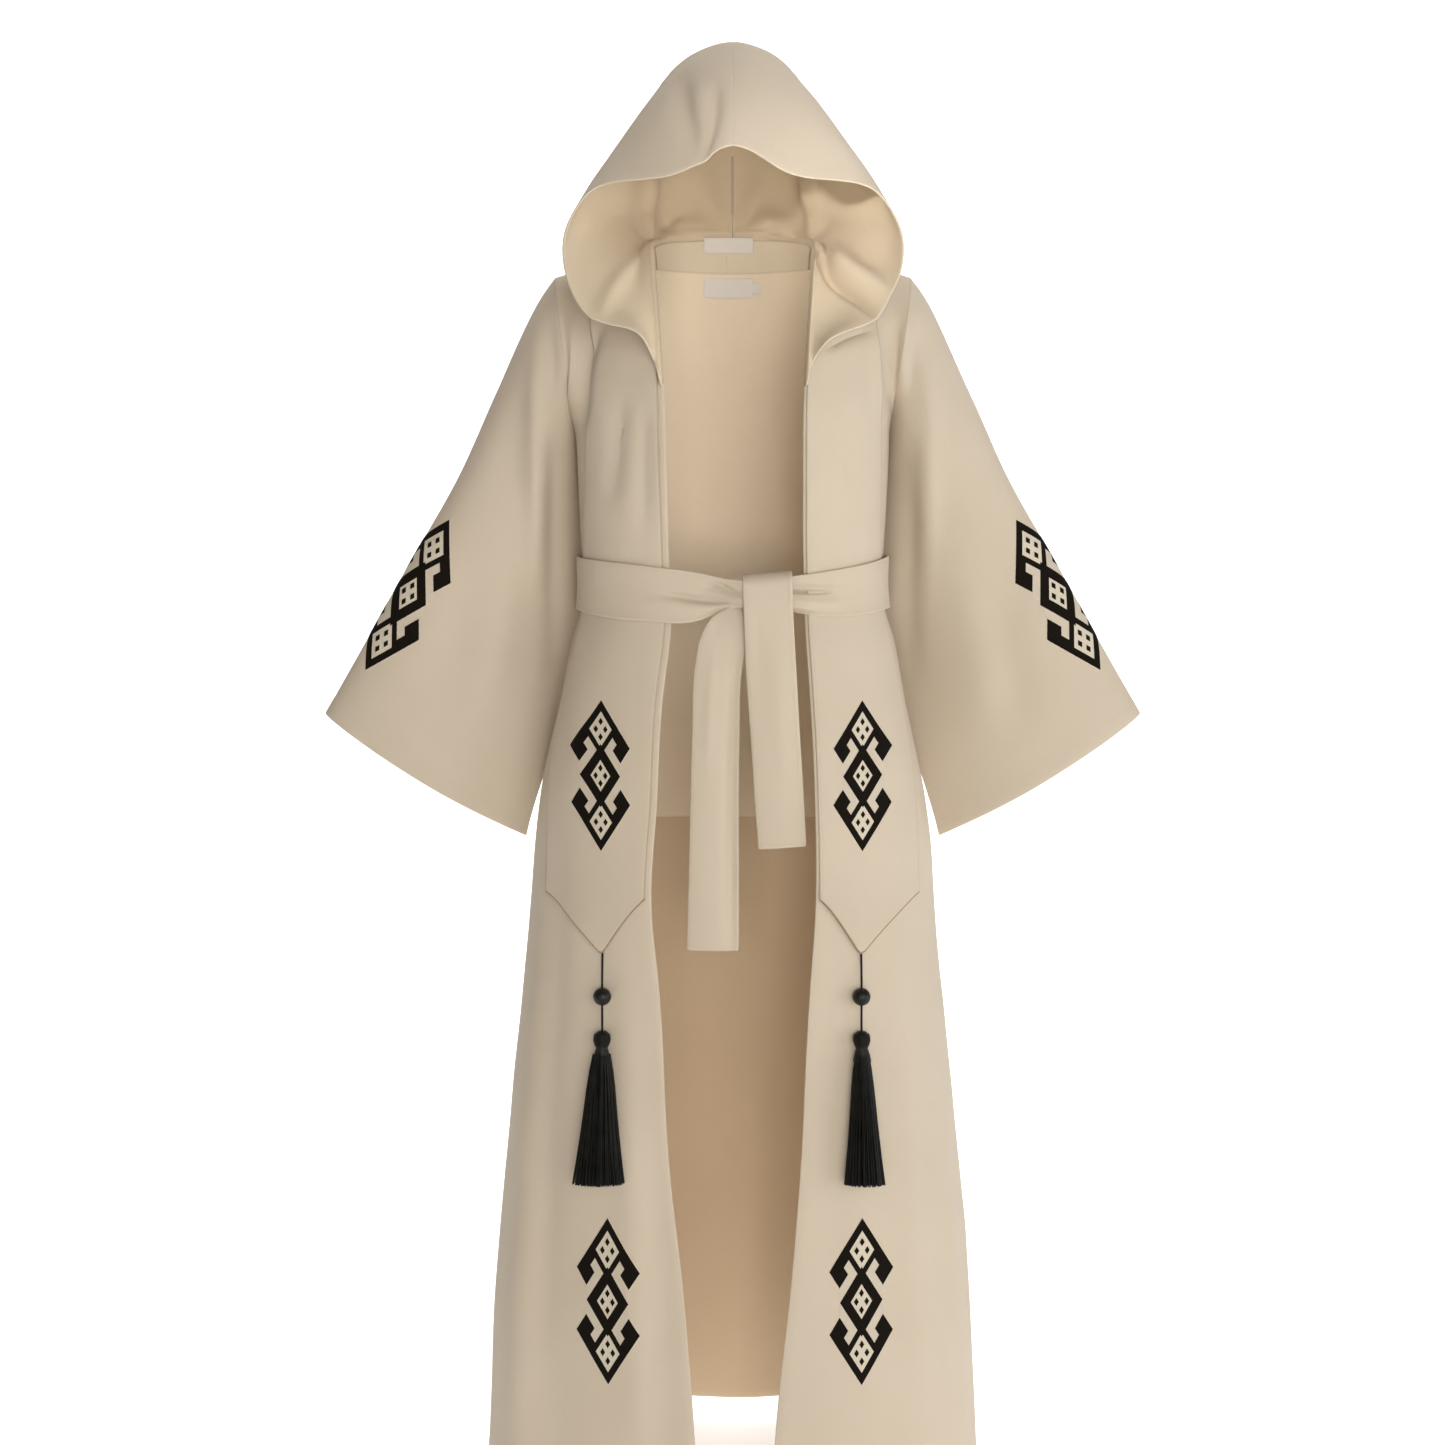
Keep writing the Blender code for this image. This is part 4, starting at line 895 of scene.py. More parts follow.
def mesh_piece(name, slot, looks, verts, faces, flat=None, indices=None, merge=False):
    """One object from arrays of points and faces, with its places on the flat cloth as a UV map."""
    mesh = bpy.data.meshes.new(name)
    mesh.from_pydata(verts.tolist(), [], [np.asarray(face).tolist() for face in faces])
    if flat is not None:
        places = np.concatenate([part.reshape(-1, part.shape[-1]) for part in flat])
        # For a wall of cloth, the second map holds each point's distance from seams and shaded edges, for the
        # painted shade
        for layer, values in (("cloth", places[:, :2]), ("seam", places[:, [-1, -1]])):
            mesh.uv_layers.new(name=layer).data.foreach_set("uv", np.ascontiguousarray(values).ravel())
    if indices is not None:
        mesh.polygons.foreach_set("material_index", np.asarray(indices, np.int32))
    work = bmesh.new()
    work.from_mesh(mesh)
    if merge:
        bmesh.ops.remove_doubles(work, verts=work.verts, dist=SAME_PLACE)
    bmesh.ops.recalc_face_normals(work, faces=work.faces)
    work.to_mesh(mesh)
    work.free()
    mesh.shade_smooth()
    mesh.set_sharp_from_angle(angle=SHARP_FROM)
    for look in looks:
        mesh.materials.append(materials[look])
    piece = bpy.data.objects.new(name, mesh)
    bpy.context.scene.collection.objects.link(piece)
    if slot:
        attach(piece, "root")
    return piece


# Cloth pieces

def make_fronts():
    down, share = np.meshgrid(body_rows(), np.linspace(0, 1, FRONT_COLUMNS + 1), indexing="ij")
    for side, name in SIDES.items():
        panel(f"front_{name}", front_form(side, down, share), turned=("last row", "first column"))


def make_back():
    down, share = np.meshgrid(body_rows(), back_shares(), indexing="ij")
    panel("back", back_form(down, share), turned=("last row",))


def sleeve_point(side, along, turn):
    """The sleeve: along is 0 at the armhole and 1 at the cuff; turn goes from the shoulder down the front
    (0 to 1) and up the back (1 to 2)."""
    low_angle, x, y, z, low_z, clear, front, back = read_all(SLEEVE, along)
    low = body(low_z, np.radians(low_angle), clear)
    slope = points(x, y, z) - low
    angle = pi * (1 - np.where(turn > 1, 2 - turn, turn))
    rise = rise_at(angle)
    depth = np.where(turn > 1, back, -front)
    away = unit(points(slope[..., 2], 0, -slope[..., 0]))
    bow = CUFF_BOW * along**3 * 4 * rise * (1 - rise)
    made = low + slope * rise[..., None] + points(0, depth * np.sin(angle), 0) + away * bow[..., None]
    return mirrored(side, made)


def sleeve_form(side, along, turn):
    """A sleeve with its folds, which die out at the armhole and lie in front; the back has them mirrored."""
    plain = partial(sleeve_point, side)
    places = plain(along, turn)
    mine, other = relief(SLEEVE_FOLDS[side], places), relief(SLEEVE_FOLDS[-side], mirrored(-1, places))
    calm = ease(along / SEAM_CALM) * np.abs(np.sin(pi * turn)) ** 0.5
    return lifted(plain, -side, along, turn, (np.where(turn > 1, other, mine) + unevenness(places)) * calm)


def make_sleeves():
    turns = np.arange(2 * ARMHOLE_STEPS) / ARMHOLE_STEPS
    along, turn = np.meshgrid(np.linspace(0, 1, SLEEVE_ROWS), turns, indexing="ij")
    for side, name in SIDES.items():
        panel(f"sleeve_{name}", sleeve_form(side, along, turn), ring=True, turned=("last row",))


def hood_feet(side):
    """The neck seam, from the rim's foot on the front, up to the shoulder and round to the nape."""
    down = np.arange(NECK_STEPS, -1, -1) / ARMHOLE_STEPS
    front = front_form(side, down, np.zeros(len(down)))
    share = np.linspace(NECK_SHARE, 0, BACK_NECK_COLUMNS + 1)[1:]
    back = mirrored(side, back_form(np.zeros(len(share)), share))
    return np.concatenate([front, back])


def hoop_line(stations):
    """A smooth line from a foot to the hood's top seam, in even steps."""
    stations = np.array(stations + [mirrored(-1, stations[-2])])
    reach = reach_in(stations)
    return smooth(reach, stations, np.linspace(0, reach[-2], HOOD_COLUMNS))


def hood_collar(side, feet, share, up, lift):
    """A line along the neck seam, where the hood stands up from its foot: out in front, and up behind."""
    steps = np.arange(NECK_STEPS, -1, -1) / ARMHOLE_STEPS
    down = np.clip(steps - up, COLLAR_LEAST_DOWN, 1)
    lifts = lift * (COLLAR_LEAST + (1 - COLLAR_LEAST) * ease(steps / COLLAR_FULL_DOWN))
    front = lifted_front(side, down, np.full(len(down), share), lifts)
    back = feet[NECK_STEPS + 1:] + np.array([0, 0, lift * COLLAR_LEAST])
    return np.concatenate([front, back])


def make_hood():
    for side, name in SIDES.items():
        feet = hood_feet(side)
        collars = [hood_collar(side, feet, *row) for row in COLLAR]
        backs = np.arange(len(feet)) / (len(feet) - 1)
        lines = [mirrored(side, line) for line in read_all(HOOD, backs)]
        lines[0][:, 2] -= LEDGE_DROP[side] * (1 - ease(backs / LEDGE_DROP_BACK))
        hoops = [hoop_line([line[i] for line in [feet, *collars, *lines]]) for i in range(len(feet) - 1)]
        hoops.append(np.repeat(feet[-1:], HOOD_COLUMNS, axis=0))
        panel(f"hood_{name}", np.array(hoops), tip=True, inside=HOOD_MIDDLE, folds=HOOD_FOLDS[side],
              turned=("first row",))


def over_panel_row(side, z):
    """The shares of the front at which an over-panel's points lie at a height."""
    name = SIDES[side]
    first = share_at(side, z, read(OPENING, name, z) + OVER_PANEL_INSET[side])
    last = share_at(side, z, read(OVER_PANEL, name, z))
    return np.linspace(first, last, OVER_PANEL_COLUMNS + 1)


def over_panel_cut(side):
    """The rows and shares of an over-panel's points on the front that it lies on."""
    rows = []
    for down in body_rows()[OVER_PANEL_FIRST_ROW:]:
        if height_at(down) < V_FROM_Z - SAME_PLACE:
            break
        above = over_panel_row(side, height_at(down))
        rows.append((np.full(len(above), down), above))
    corner = over_panel_row(side, V_CORNER_Z)
    x = np.abs(front_surface(side, np.full(len(corner), down_at(V_CORNER_Z)), corner)[:, 0])
    rise = np.minimum((x - x[0]) / (V_POINT_X[side] - x[0]), (x[-1] - x) / (x[-1] - V_POINT_X[side]))
    end = V_CORNER_Z + (V_POINT[side] - V_CORNER_Z) * np.clip(rise, 0, V_BLUNT) ** V_HOLLOW
    above_z = height_at(rows[-1][0])
    for part in np.arange(1, V_STEPS + 1) / V_STEPS:
        rows.append((down_at(above_z + (end - above_z) * part), above + (corner - above) * part))
    return np.array(rows).swapaxes(0, 1)


def make_over_panels():
    edges = ("last row", "last column", "first column")
    for side, name in SIDES.items():
        down, share = over_panel_cut(side)
        rise = POINT_RISE * ease((np.linspace(0, 1, len(down)) - 1) / POINT_ROWS + 1)
        grid = lifted_front(side, down, share, CLOTH + LAYER_GAP + rise[:, None])
        # Its edges, all but the right panel's inner one, get painted shade: the shadow the panel would cast
        # on the front
        panel(f"over_panel_{name}", grid, sewn=False, turned=edges, painted_shade_edges=edges if side < 0 else edges[:2])


def make_linings():
    """The facing and the half lining, on the back's own grid, this far inside it."""
    rows, shares, back = body_rows(), back_shares(), panels["back"]
    ends = int(np.argmin(np.abs(rows - down_at(LINING_END_Z))))
    inner = back.grid - back.normal * ((CLOTH + THIN_CLOTH) / 2 + LINING_GAP)
    facing = inner[: FACING_ROWS + 1][:, np.abs(shares) < NECK_SHARE - SAME_PLACE].copy()
    facing[0] += (facing[1] - facing[0]) * FACING_BELOW
    # Painted shade runs down the facing's middle seam and along the lining's bottom edge
    panel("neck_facing", facing, THIN_CLOTH, across=FACING_SEAM)
    panel("half_lining", inner[FACING_ROWS: ends + 1][:, np.abs(shares) < LINING_REACH], THIN_CLOTH,
          turned=("last row",), painted_shade_edges=("last row",))


def label_grid(width, height, top, middle_x, out):
    """A tape that hangs flat inside the back: its rows run down the back's middle, and up past the seam."""
    steps = np.linspace(0, 0.5, SEARCH_STEPS)
    middle = back_form(steps, np.zeros(SEARCH_STEPS))
    shares = np.linspace(-NECK_SHARE, NECK_SHARE, SEARCH_STEPS)
    rows = []
    for z in np.linspace(top, top - height, LABEL_ROWS + 1):
        down = max(np.interp(-z, -middle[:, 2], steps), LABEL_LEAST_DOWN)
        reach = back_form(np.full(SEARCH_STEPS, down), shares)[:, 0]
        share = np.interp(middle_x + np.linspace(-0.5, 0.5, LABEL_COLUMNS + 1) * width, reach, shares)
        row = lifted(back_form, -1, np.full(len(share), down), share, out)
        row[:, 2] += z - row[len(row) // 2, 2]
        rows.append(row)
    return np.array(rows)


def make_labels():
    for name, (width, height, top) in (("hood_label", HOOD_LABEL), ("neck_label", NECK_LABEL)):
        out = -(CLOTH / 2 + THIN_CLOTH + LABEL_CLOTH / 2 + LABEL_GAP[name])
        panel(name, label_grid(width, height, top, LABEL_X, out), LABEL_CLOTH, sewn=False)
    panel("size_tab", label_grid(*TAB, TAB_X, out), LABEL_CLOTH, sewn=False)


# The sash

def belt_point(angle_degrees, across_share):
    """The sash round the waist: the angle runs from the knot, left side first, all the way round."""
    turn = (-angle_degrees + 180) % 360 - 180
    top, low = read_all(BELT, turn)
    z = top + (low - top) * across_share
    angle = np.radians(turn)
    behind = ease((np.abs(turn) - BELT_BACK_FROM) / (BELT_BACK_FULL - BELT_BACK_FROM))
    over = BELT_OVER_FRONT + (BELT_OVER_BACK - BELT_OVER_FRONT) * behind
    folds = KNOT_FOLD * np.exp(-((turn / KNOT_FOLDS_REACH) ** 2)) * np.sin(across_share * KNOT_FOLDS * pi)
    return body(z, angle, over + folds)


def make_belt():
    count = round((BELT_END - BELT_FIRST) / BELT_STEP)
    angle, share = np.meshgrid(np.linspace(BELT_FIRST, BELT_END, count), np.linspace(0, 1, BELT_ROWS),
                               indexing="ij")
    grid = belt_point(angle, share)
    grid = grid + points(grid[..., 0], grid[..., 1], 0) * (unevenness(grid) * 4)[..., None]
    forward = ease((BELT_COMES_FORWARD - angle) / (BELT_COMES_FORWARD - BELT_FIRST))
    grid[..., 1] += (BELT_AT_KNOT - grid[..., 1]) * forward
    panel("belt_wrap", grid, SASH, sewn=False)
    belt = panels["belt_wrap"]
    in_front = belt.grid[..., 1] < 0
    belt.grid += belt.normal * (relief(SASH_FOLDS, belt.grid) * in_front)[..., None]


def make_knot():
    """The sash's cloth wound once round a level line, with the folds that it is drawn into."""
    x = np.linspace(KNOT_FIRST, KNOT[-1].x, KNOT_RINGS)
    turns = np.linspace(*KNOT_WRAP, KNOT_SIDES)
    forward_reach, up_reach = (reach[:, None] - SASH / 2 for reach in read_all(KNOT, x))
    ridge = 1 + KNOT_RIDGE * np.sin(KNOT_FOLD_COUNT * turns[None] + 90 * x[:, None])
    grid = points(x[:, None], -forward_reach * np.cos(turns) * ridge, up_reach * np.sin(turns) * ridge)
    panel("belt_knot", grid + np.array(KNOT_AT), SASH, sewn=False, inside=KNOT_AT)


def tail_grid(rows):
    """A strip whose middle runs smoothly through the table's rows, cupped a little across."""
    reach = reach_in(np.array(rows)[:, :3])
    rows = smooth(reach, rows, np.linspace(0, reach[-1], TAIL_ROWS))
    places, widths = rows[:, :3], rows[:, 3:]
    steps = np.linspace(-0.5, 0.5, TAIL_COLUMNS + 1)
    lean = unit(np.gradient(places, axis=0))
    beside = unit(np.array([1, 0, 0]) - lean * lean[:, :1])
    out = np.cross(beside, lean)
    bow = np.clip((widths / TAIL_CUP_WIDTH) ** 2, 0, 1) * TAIL_CUP * (1 - 4 * steps**2)
    bow *= ease((KNOT_AT[2] - places[:, 2:]) / TAIL_CUP_DROP) * np.sign(out[:, 1:2])
    return places[:, None] + beside[:, None] * (widths * steps)[..., None] - out[:, None] * bow[..., None]


def make_tails():
    away = (0, 0, None)
    short = tail_grid(TAIL_SHORT)
    drop = TAIL_TOP_DROP + TAIL_TOP_SLOPE * (TAIL_TOP_RIGHT - short[..., 0])
    short[..., 2] -= drop * ease((short[..., 2] - TAIL_TOP_FROM) / (TAIL_TOP_FULL - TAIL_TOP_FROM))
    panel("belt_tail_short", short, SASH, sewn=False, inside=away, folds=SHORT_END_FOLDS)
    panel("belt_tail_long", tail_grid(TAIL_LONG), SASH, sewn=False, inside=away, folds=LONG_END_FOLDS)


# Sewing

def inset_line(made, edge, inset):
    """A line along a piece's edge, this far in from it, and the cloth's normals there."""
    far = reach_in(from_edge(made.grid, edge))
    lines = []
    for values in (from_edge(made.grid, edge), from_edge(made.normal, edge)):
        line = [[np.interp(inset, far[:, j], values[:, j, k]) for k in range(3)] for j in range(far.shape[1])]
        lines.append(np.array(line + line[:1] if made.ring else line))
    return lines


def stitch_run(line, ways, out):
    """Stitches along a line: the arrays of their points and faces."""
    reach = reach_in(line)
    starts = np.arange(0, reach[-1] - STITCH, STITCH_PITCH)

    def at(values, places):
        return np.stack([np.interp(places, reach, values[:, k]) for k in range(3)], axis=-1)

    way = unit(at(ways, starts + STITCH / 2))
    first, last = at(line, starts) + way * out, at(line, starts + STITCH) + way * out
    beside = np.cross(unit(last - first), way)
    rounds = [first + (last - first) * share + STITCH_RADIUS * (beside * np.cos(turn) + way * np.sin(turn))
              for share in (0.25, 0.75) for turn in pi / 2 * np.arange(4)]
    verts = np.stack([first - way * STITCH_RADIUS, *rounds, last - way * STITCH_RADIUS], axis=1)
    faces = []
    for k in range(4):
        after = (k + 1) % 4
        faces += [(0, 1 + after, 1 + k), (1 + k, 1 + after, 5 + after, 5 + k), (9, 5 + k, 5 + after)]
    return verts, faces


def stitching(kind, rows):
    """All stitches of one kind of cloth as one piece: each row is a piece, an edge and how far in."""
    parts = []
    for name, edge, inset in rows:
        made = panels[name]
        run, shape = stitch_run(*inset_line(made, edge, inset), made.thickness / 2 + TURNING_THICK / 2)
        parts += [(one, shape) for one in run]
    mesh_piece(f"{kind}_stitching", f"{kind}_cloth", ["thread"], *joined(parts))


def make_stitching():
    hem, edge, narrow = TURNING, FRONT_STITCH_IN, NARROW_STITCH_IN
    both, sides = SIDES.values(), ("first column", "last column")
    low = "last row"
    fronts = [(f"front_{name}", place, inset) for name in both
              for place, inset in ((low, hem), ("first column", edge))]
    stitching("robe", [*fronts, *((f"sleeve_{name}", low, hem) for name in both), ("back", low, hem)])
    stitching("panel", [(f"over_panel_{name}", place, narrow) for name in both for place in (low, *sides)])
    stitching("hood", [(f"hood_{name}", "first row", hem) for name in both])
    tails = [(f"belt_tail_{name}", place, narrow) for name in ("short", "long") for place in (*sides, low)]
    stitching("sash", [("belt_wrap", place, narrow) for place in sides] + tails)
    stitching("lining", [("half_lining", low, hem)])


# Motifs

def motif_blocks():
    """The whole chart: both arms, mirrored, their turned copies below, the middle and the small squares."""
    side, rim, half, dots = MOTIF_SIDE, MOTIF_RIM, DOT_SIDE / 2, (-DOT_OFF, DOT_OFF)
    blocks = []
    for u, v, last_u, last_v, yarn in ARM:
        for a, b, c, d in ((u, v, last_u, last_v), (side - last_u, side - last_v, side - u, side - v)):
            blocks += [Block(a, b, c, d, yarn), Block(b, a, d, c, yarn)]
    blocks += MIDDLE
    blocks += [Block(middle + du - half, middle + dv - half, middle + du + half, middle + dv + half, DOT)
               for middle in LOZENGE_MIDDLES for du in dots for dv in dots]
    return [Block(b.u - rim, b.v - rim, b.last_u + rim, b.last_v + rim, EDGE)
            for b in blocks if b.yarn in (DARK, PALE)] + blocks


def break_lines(values):
    """The lines of the chart's grid: every block's edge, with even lines between."""
    edges = sorted({round(value, 4) for value in values})
    lines = [edges[0]]
    for low, high in zip(edges, edges[1:]):
        steps = max(1, int(np.ceil((high - low) / MOTIF_CELL)))
        lines += [low + (high - low) * (k + 1) / steps for k in range(steps)]
    return np.array(lines)


def motif_chart():
    """The chart's grid points, and the yarn of each of its cells, or -1 where the cloth is bare."""
    blocks = motif_blocks()
    us = break_lines([value for block in blocks for value in (block.u, block.last_u)])
    vs = break_lines([value for block in blocks for value in (block.v, block.last_v)])
    u, v = np.meshgrid((us[1:] + us[:-1]) / 2, (vs[1:] + vs[:-1]) / 2, indexing="ij")
    yarn = np.full(u.shape, -1)
    for block in blocks:
        yarn[(u > block.u) & (u < block.last_u) & (v > block.v) & (v < block.last_v)] = block.yarn
    return us, vs, yarn


def make_motif(name, placed, row, slot):
    """A stitched motif: placed gives the cloth's point for a place across and down it, and a height."""
    us, vs, yarn = motif_chart()
    count = (len(us), len(vs))
    u, v = np.meshgrid(us - us[0], vs - vs[0], indexing="ij")
    x = (u - v) / (2 * MOTIF_REACH) * row.width
    z = (u + v) / (2 * (us[-1] - us[0])) * row.length
    around = np.pad(yarn, 1, constant_values=-1)
    around = [around[i: i + count[0], j: j + count[1]] for i in (0, 1) for j in (0, 1)]
    heights = np.mean([YARN_HEIGHT[cell] for cell in around], axis=0)
    top = placed(x, z, np.where(np.min(around, axis=0) < 0, MOTIF_ROOT, heights))
    index = np.arange(x.size).reshape(count)
    i, j = np.argwhere(yarn >= 0).T
    faces = np.stack([index[i, j], index[i + 1, j], index[i + 1, j + 1], index[i, j + 1]], axis=-1)
    flat = np.stack([x, z], axis=-1).reshape(-1, 2)[faces]
    used, faces = np.unique(faces, return_inverse=True)
    mesh_piece(name, slot, ["yarn_edge", "yarn_dark", "yarn_pale"], top.reshape(-1, 3)[used],
               faces.reshape(-1, 4), flat, YARN_LOOK[yarn[i, j]])


def front_motif(side, row, base):
    """A motif on a front: across it from the middle of the body, seen from the front."""
    def placed(x, z, height):
        level = row.z - z
        return lifted_front(side, down_at(level), share_at(side, level, row.x + x), base + height)
    return placed


def sleeve_motif(side, row, base):
    """A motif on a sleeve, along its top fold: its outer half turns round the fold to the back."""
    turns = np.linspace(-0.6, 0.6, 241)

    def placed(x, z, height):
        along = (row.z + z) / SLEEVE_LENGTH
        turn = np.zeros(x.shape)
        for level in np.unique(np.round(along, 2)):
            line = sleeve_point(1, np.full(len(turns), level), np.abs(turns))
            fold = line[len(turns) // 2]
            slope = sleeve_point(1, np.array([level]), np.array([1.0]))[0] - fold
            slope[1] = 0
            seen = np.sign(turns) * np.abs((line - fold) @ slope) / np.linalg.norm(slope)
            steps = reach_in(line)
            arc = steps - steps[len(turns) // 2]
            reach = (1 - ARC_WEIGHT) * seen + ARC_WEIGHT * arc
            axis = np.interp(row.x, seen, reach)
            here = np.round(along, 2) == level
            turn[here] = np.interp(axis + x[here], reach, turns)

        def form(first, second):
            return sleeve_form(side, first, np.where(second < 0, second + 2, second))
        return lifted(form, -side, along, turn, base + height)
    return placed


def make_motifs():
    for side, name in SIDES.items():
        for kind, motif, row, base, slot in (
                ("upper", front_motif, UPPER_MOTIF[side], CLOTH + LAYER_GAP, "panel_cloth"),
                ("lower", front_motif, LOWER_MOTIF[side], 0, "robe_cloth"),
                ("sleeve", sleeve_motif, SLEEVE_MOTIF, 0, "robe_cloth")):
            make_motif(f"{kind}_motif_{name}", motif(side, row, base + CLOTH / 2), row, slot)


# The trimming at each point

def point_of(side):
    """The tip of an over-panel, at the middle of its wall."""
    last = panels[f"over_panel_{SIDES[side]}"].grid[-1]
    return last[np.argmin(last[:, 2])]


def trim_line(side, z):
    """The line that the trimming hangs in, from the panel's point down along the skirt."""
    clear, sideways = read_all(TRIM, z)
    x = abs(point_of(side)[0]) + sideways
    angle = angle_at(x / read(BODY, "half", z))
    return np.array([side * x, body(z, side * angle, clear)[1], z])


def ring_faces(places, sides, start=0):
    """The faces of a closed tube made of rings of points, whose first point has this number."""
    last = start + (places - 1) * sides
    faces = []
    for ring in range(start, last, sides):
        for j in range(sides):
            k = (j + 1) % sides
            faces.append([ring + j, ring + k, ring + sides + k, ring + sides + j])
    return [*faces, [*range(start, start + sides)][::-1], [*range(last, last + sides)]]


def tubes(lines, radius, sides, level):
    """Round strands along many lines at once: arrays of points and faces. Level is a way they never run."""
    lines = np.asarray(lines)
    runs, places = lines.shape[:2]
    along = unit(np.gradient(lines, axis=1))
    beside = unit(np.cross(along, level))
    above = np.cross(beside, along)
    turns = 2 * pi * np.arange(sides) / sides
    rounds = beside[:, :, None] * np.cos(turns)[:, None] + above[:, :, None] * np.sin(turns)[:, None]
    verts = (lines[:, :, None] + radius * rounds).reshape(-1, 3)
    return verts, [face for run in range(runs) for face in ring_faces(places, sides, run * places * sides)]


def joined(parts):
    """Several arrays of points and faces as one."""
    verts, faces = [], []
    count = 0
    for some, shape in parts:
        verts.append(some)
        faces += [np.array(face) + count for face in shape]
        count += len(some)
    return np.concatenate(verts), faces


def make_cord(name, side, top, low):
    """A cord of two plies that wind round each other."""
    heights = np.linspace(top, low, CORD_PLACES)
    middle = np.array([trim_line(side, z) for z in heights])
    plies = []
    for ply in (0, pi):
        turn = (heights - top) / CORD_PITCH * 2 * pi + ply
        plies.append(middle + points(np.cos(turn), np.sin(turn), 0) * CORD_RADIUS * PLY_OFF)
    piece = mesh_piece(name, "trim_yarn", ["tassel"], *tubes(plies, CORD_RADIUS * PLY_RADIUS, 7, (0.3, 1, 0)))
    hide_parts(f"tassel_{name}")


def make_cords():
    for side, name in SIDES.items():
        make_cord(f"cord_upper_{name}", side, point_of(side)[2], BEAD_Z + BEAD_RADIUS * BEAD_HOLE_AT)
        make_cord(f"cord_lower_{name}", side, BEAD_Z - BEAD_RADIUS * BEAD_HOLE_AT, HEAD_Z - HEAD_SINK)


def turned_mesh(profile, sides, ridge):
    """A turned form from radii and heights, closed at both ends, with fine ridges round it."""
    turns = 2 * pi * np.arange(sides) / sides
    shape = 1 + ridge * np.cos(turns * sides / 4)
    verts = np.concatenate([points(radius * np.cos(turns) * shape, radius * np.sin(turns) * shape, z)
                            for radius, z in profile])
    return verts, ring_faces(len(profile), sides)


def make_beads():
    turns = np.linspace(BEAD_HOLE_TURN, pi - BEAD_HOLE_TURN, BEAD_RINGS)
    profile = [(BEAD_RADIUS * np.sin(turn), BEAD_RADIUS * np.cos(turn)) for turn in turns]
    for side, name in SIDES.items():
        verts, faces = turned_mesh(profile, BEAD_SIDES, BEAD_RIDGE)
        piece = mesh_piece(f"bead_{name}", "bead", ["bead"], verts + trim_line(side, BEAD_Z), faces)
        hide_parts(f"tassel_bead_{name}")


def skirt_lines(seed, narrower):
    """The strands of a tassel's skirt, from under the head down, spread over its section."""
    rng = np.random.default_rng(seed)
    index = np.arange(STRANDS)
    reach = np.sqrt((index + 0.5) / STRANDS)
    turn = index * pi * (3 - np.sqrt(5)) + rng.normal(0, 0.05, STRANDS)
    drops = np.linspace(0, 1, STRAND_PLACES)
    spread = read(SKIRT, "reach", drops)
    low = HEAD_PROFILE[-2].z
    length = HEAD_Z - TASSEL_END_Z + low
    ends = length * (1 - 0.006 * rng.random(STRANDS))
    wander = rng.normal(0, 0.0007, (STRANDS, 2))[:, None] * (drops**2)[None, :, None]
    half = (SKIRT_HALF_WIDTH - STRAND_RADIUS) * narrower
    x = (reach * np.cos(turn))[:, None] * spread * half + wander[..., 0]
    depth = SKIRT_HALF_DEPTH + (HEAD_PROFILE[-1].radius - SKIRT_HALF_DEPTH) * (1 - drops) ** 2
    y = (reach * np.sin(turn))[:, None] * np.minimum(depth, SKIRT_HALF_WIDTH * spread) + wander[..., 1]
    return points(x, y, low - ends[:, None] * drops)


def make_tassels():
    turn = np.linspace(0, 2 * pi, WINDING_PLACES)
    for side, name in SIDES.items():
        rings = []
        for k in range(WINDINGS):
            z = WINDING_TOP - k * WINDING_STEP
            radius = np.interp(-z, [-row.z for row in HEAD_PROFILE], [row.radius for row in HEAD_PROFILE])
            slant = WINDING_SLANT * np.sin(turn)
            rings.append(points(radius * np.cos(turn), radius * np.sin(turn), z + slant))
        profile = [(row.radius * HEAD_CORE, row.z) for row in HEAD_PROFILE]
        verts, faces = joined([
            tubes(skirt_lines(5 + side, SKIRT_NARROWER[side]), STRAND_RADIUS, 4, (0, 1, 0.02)),
            turned_mesh(profile, HEAD_SIDES, HEAD_RIDGE),
            tubes(rings, STRAND_RADIUS, 6, (0, 0, 1)),
        ])
        start = trim_line(side, HEAD_Z)
        lean = (trim_line(side, TASSEL_END_Z) - start) / (TASSEL_END_Z - HEAD_Z)
        verts = start + lean * verts[:, 2:] + verts * np.array([1, 1, 0])
        piece = mesh_piece(f"tassel_yarn_{name}", "trim_yarn", ["tassel"], verts, faces)
        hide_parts(f"tassel_{name}")


# Materials

materials = {}


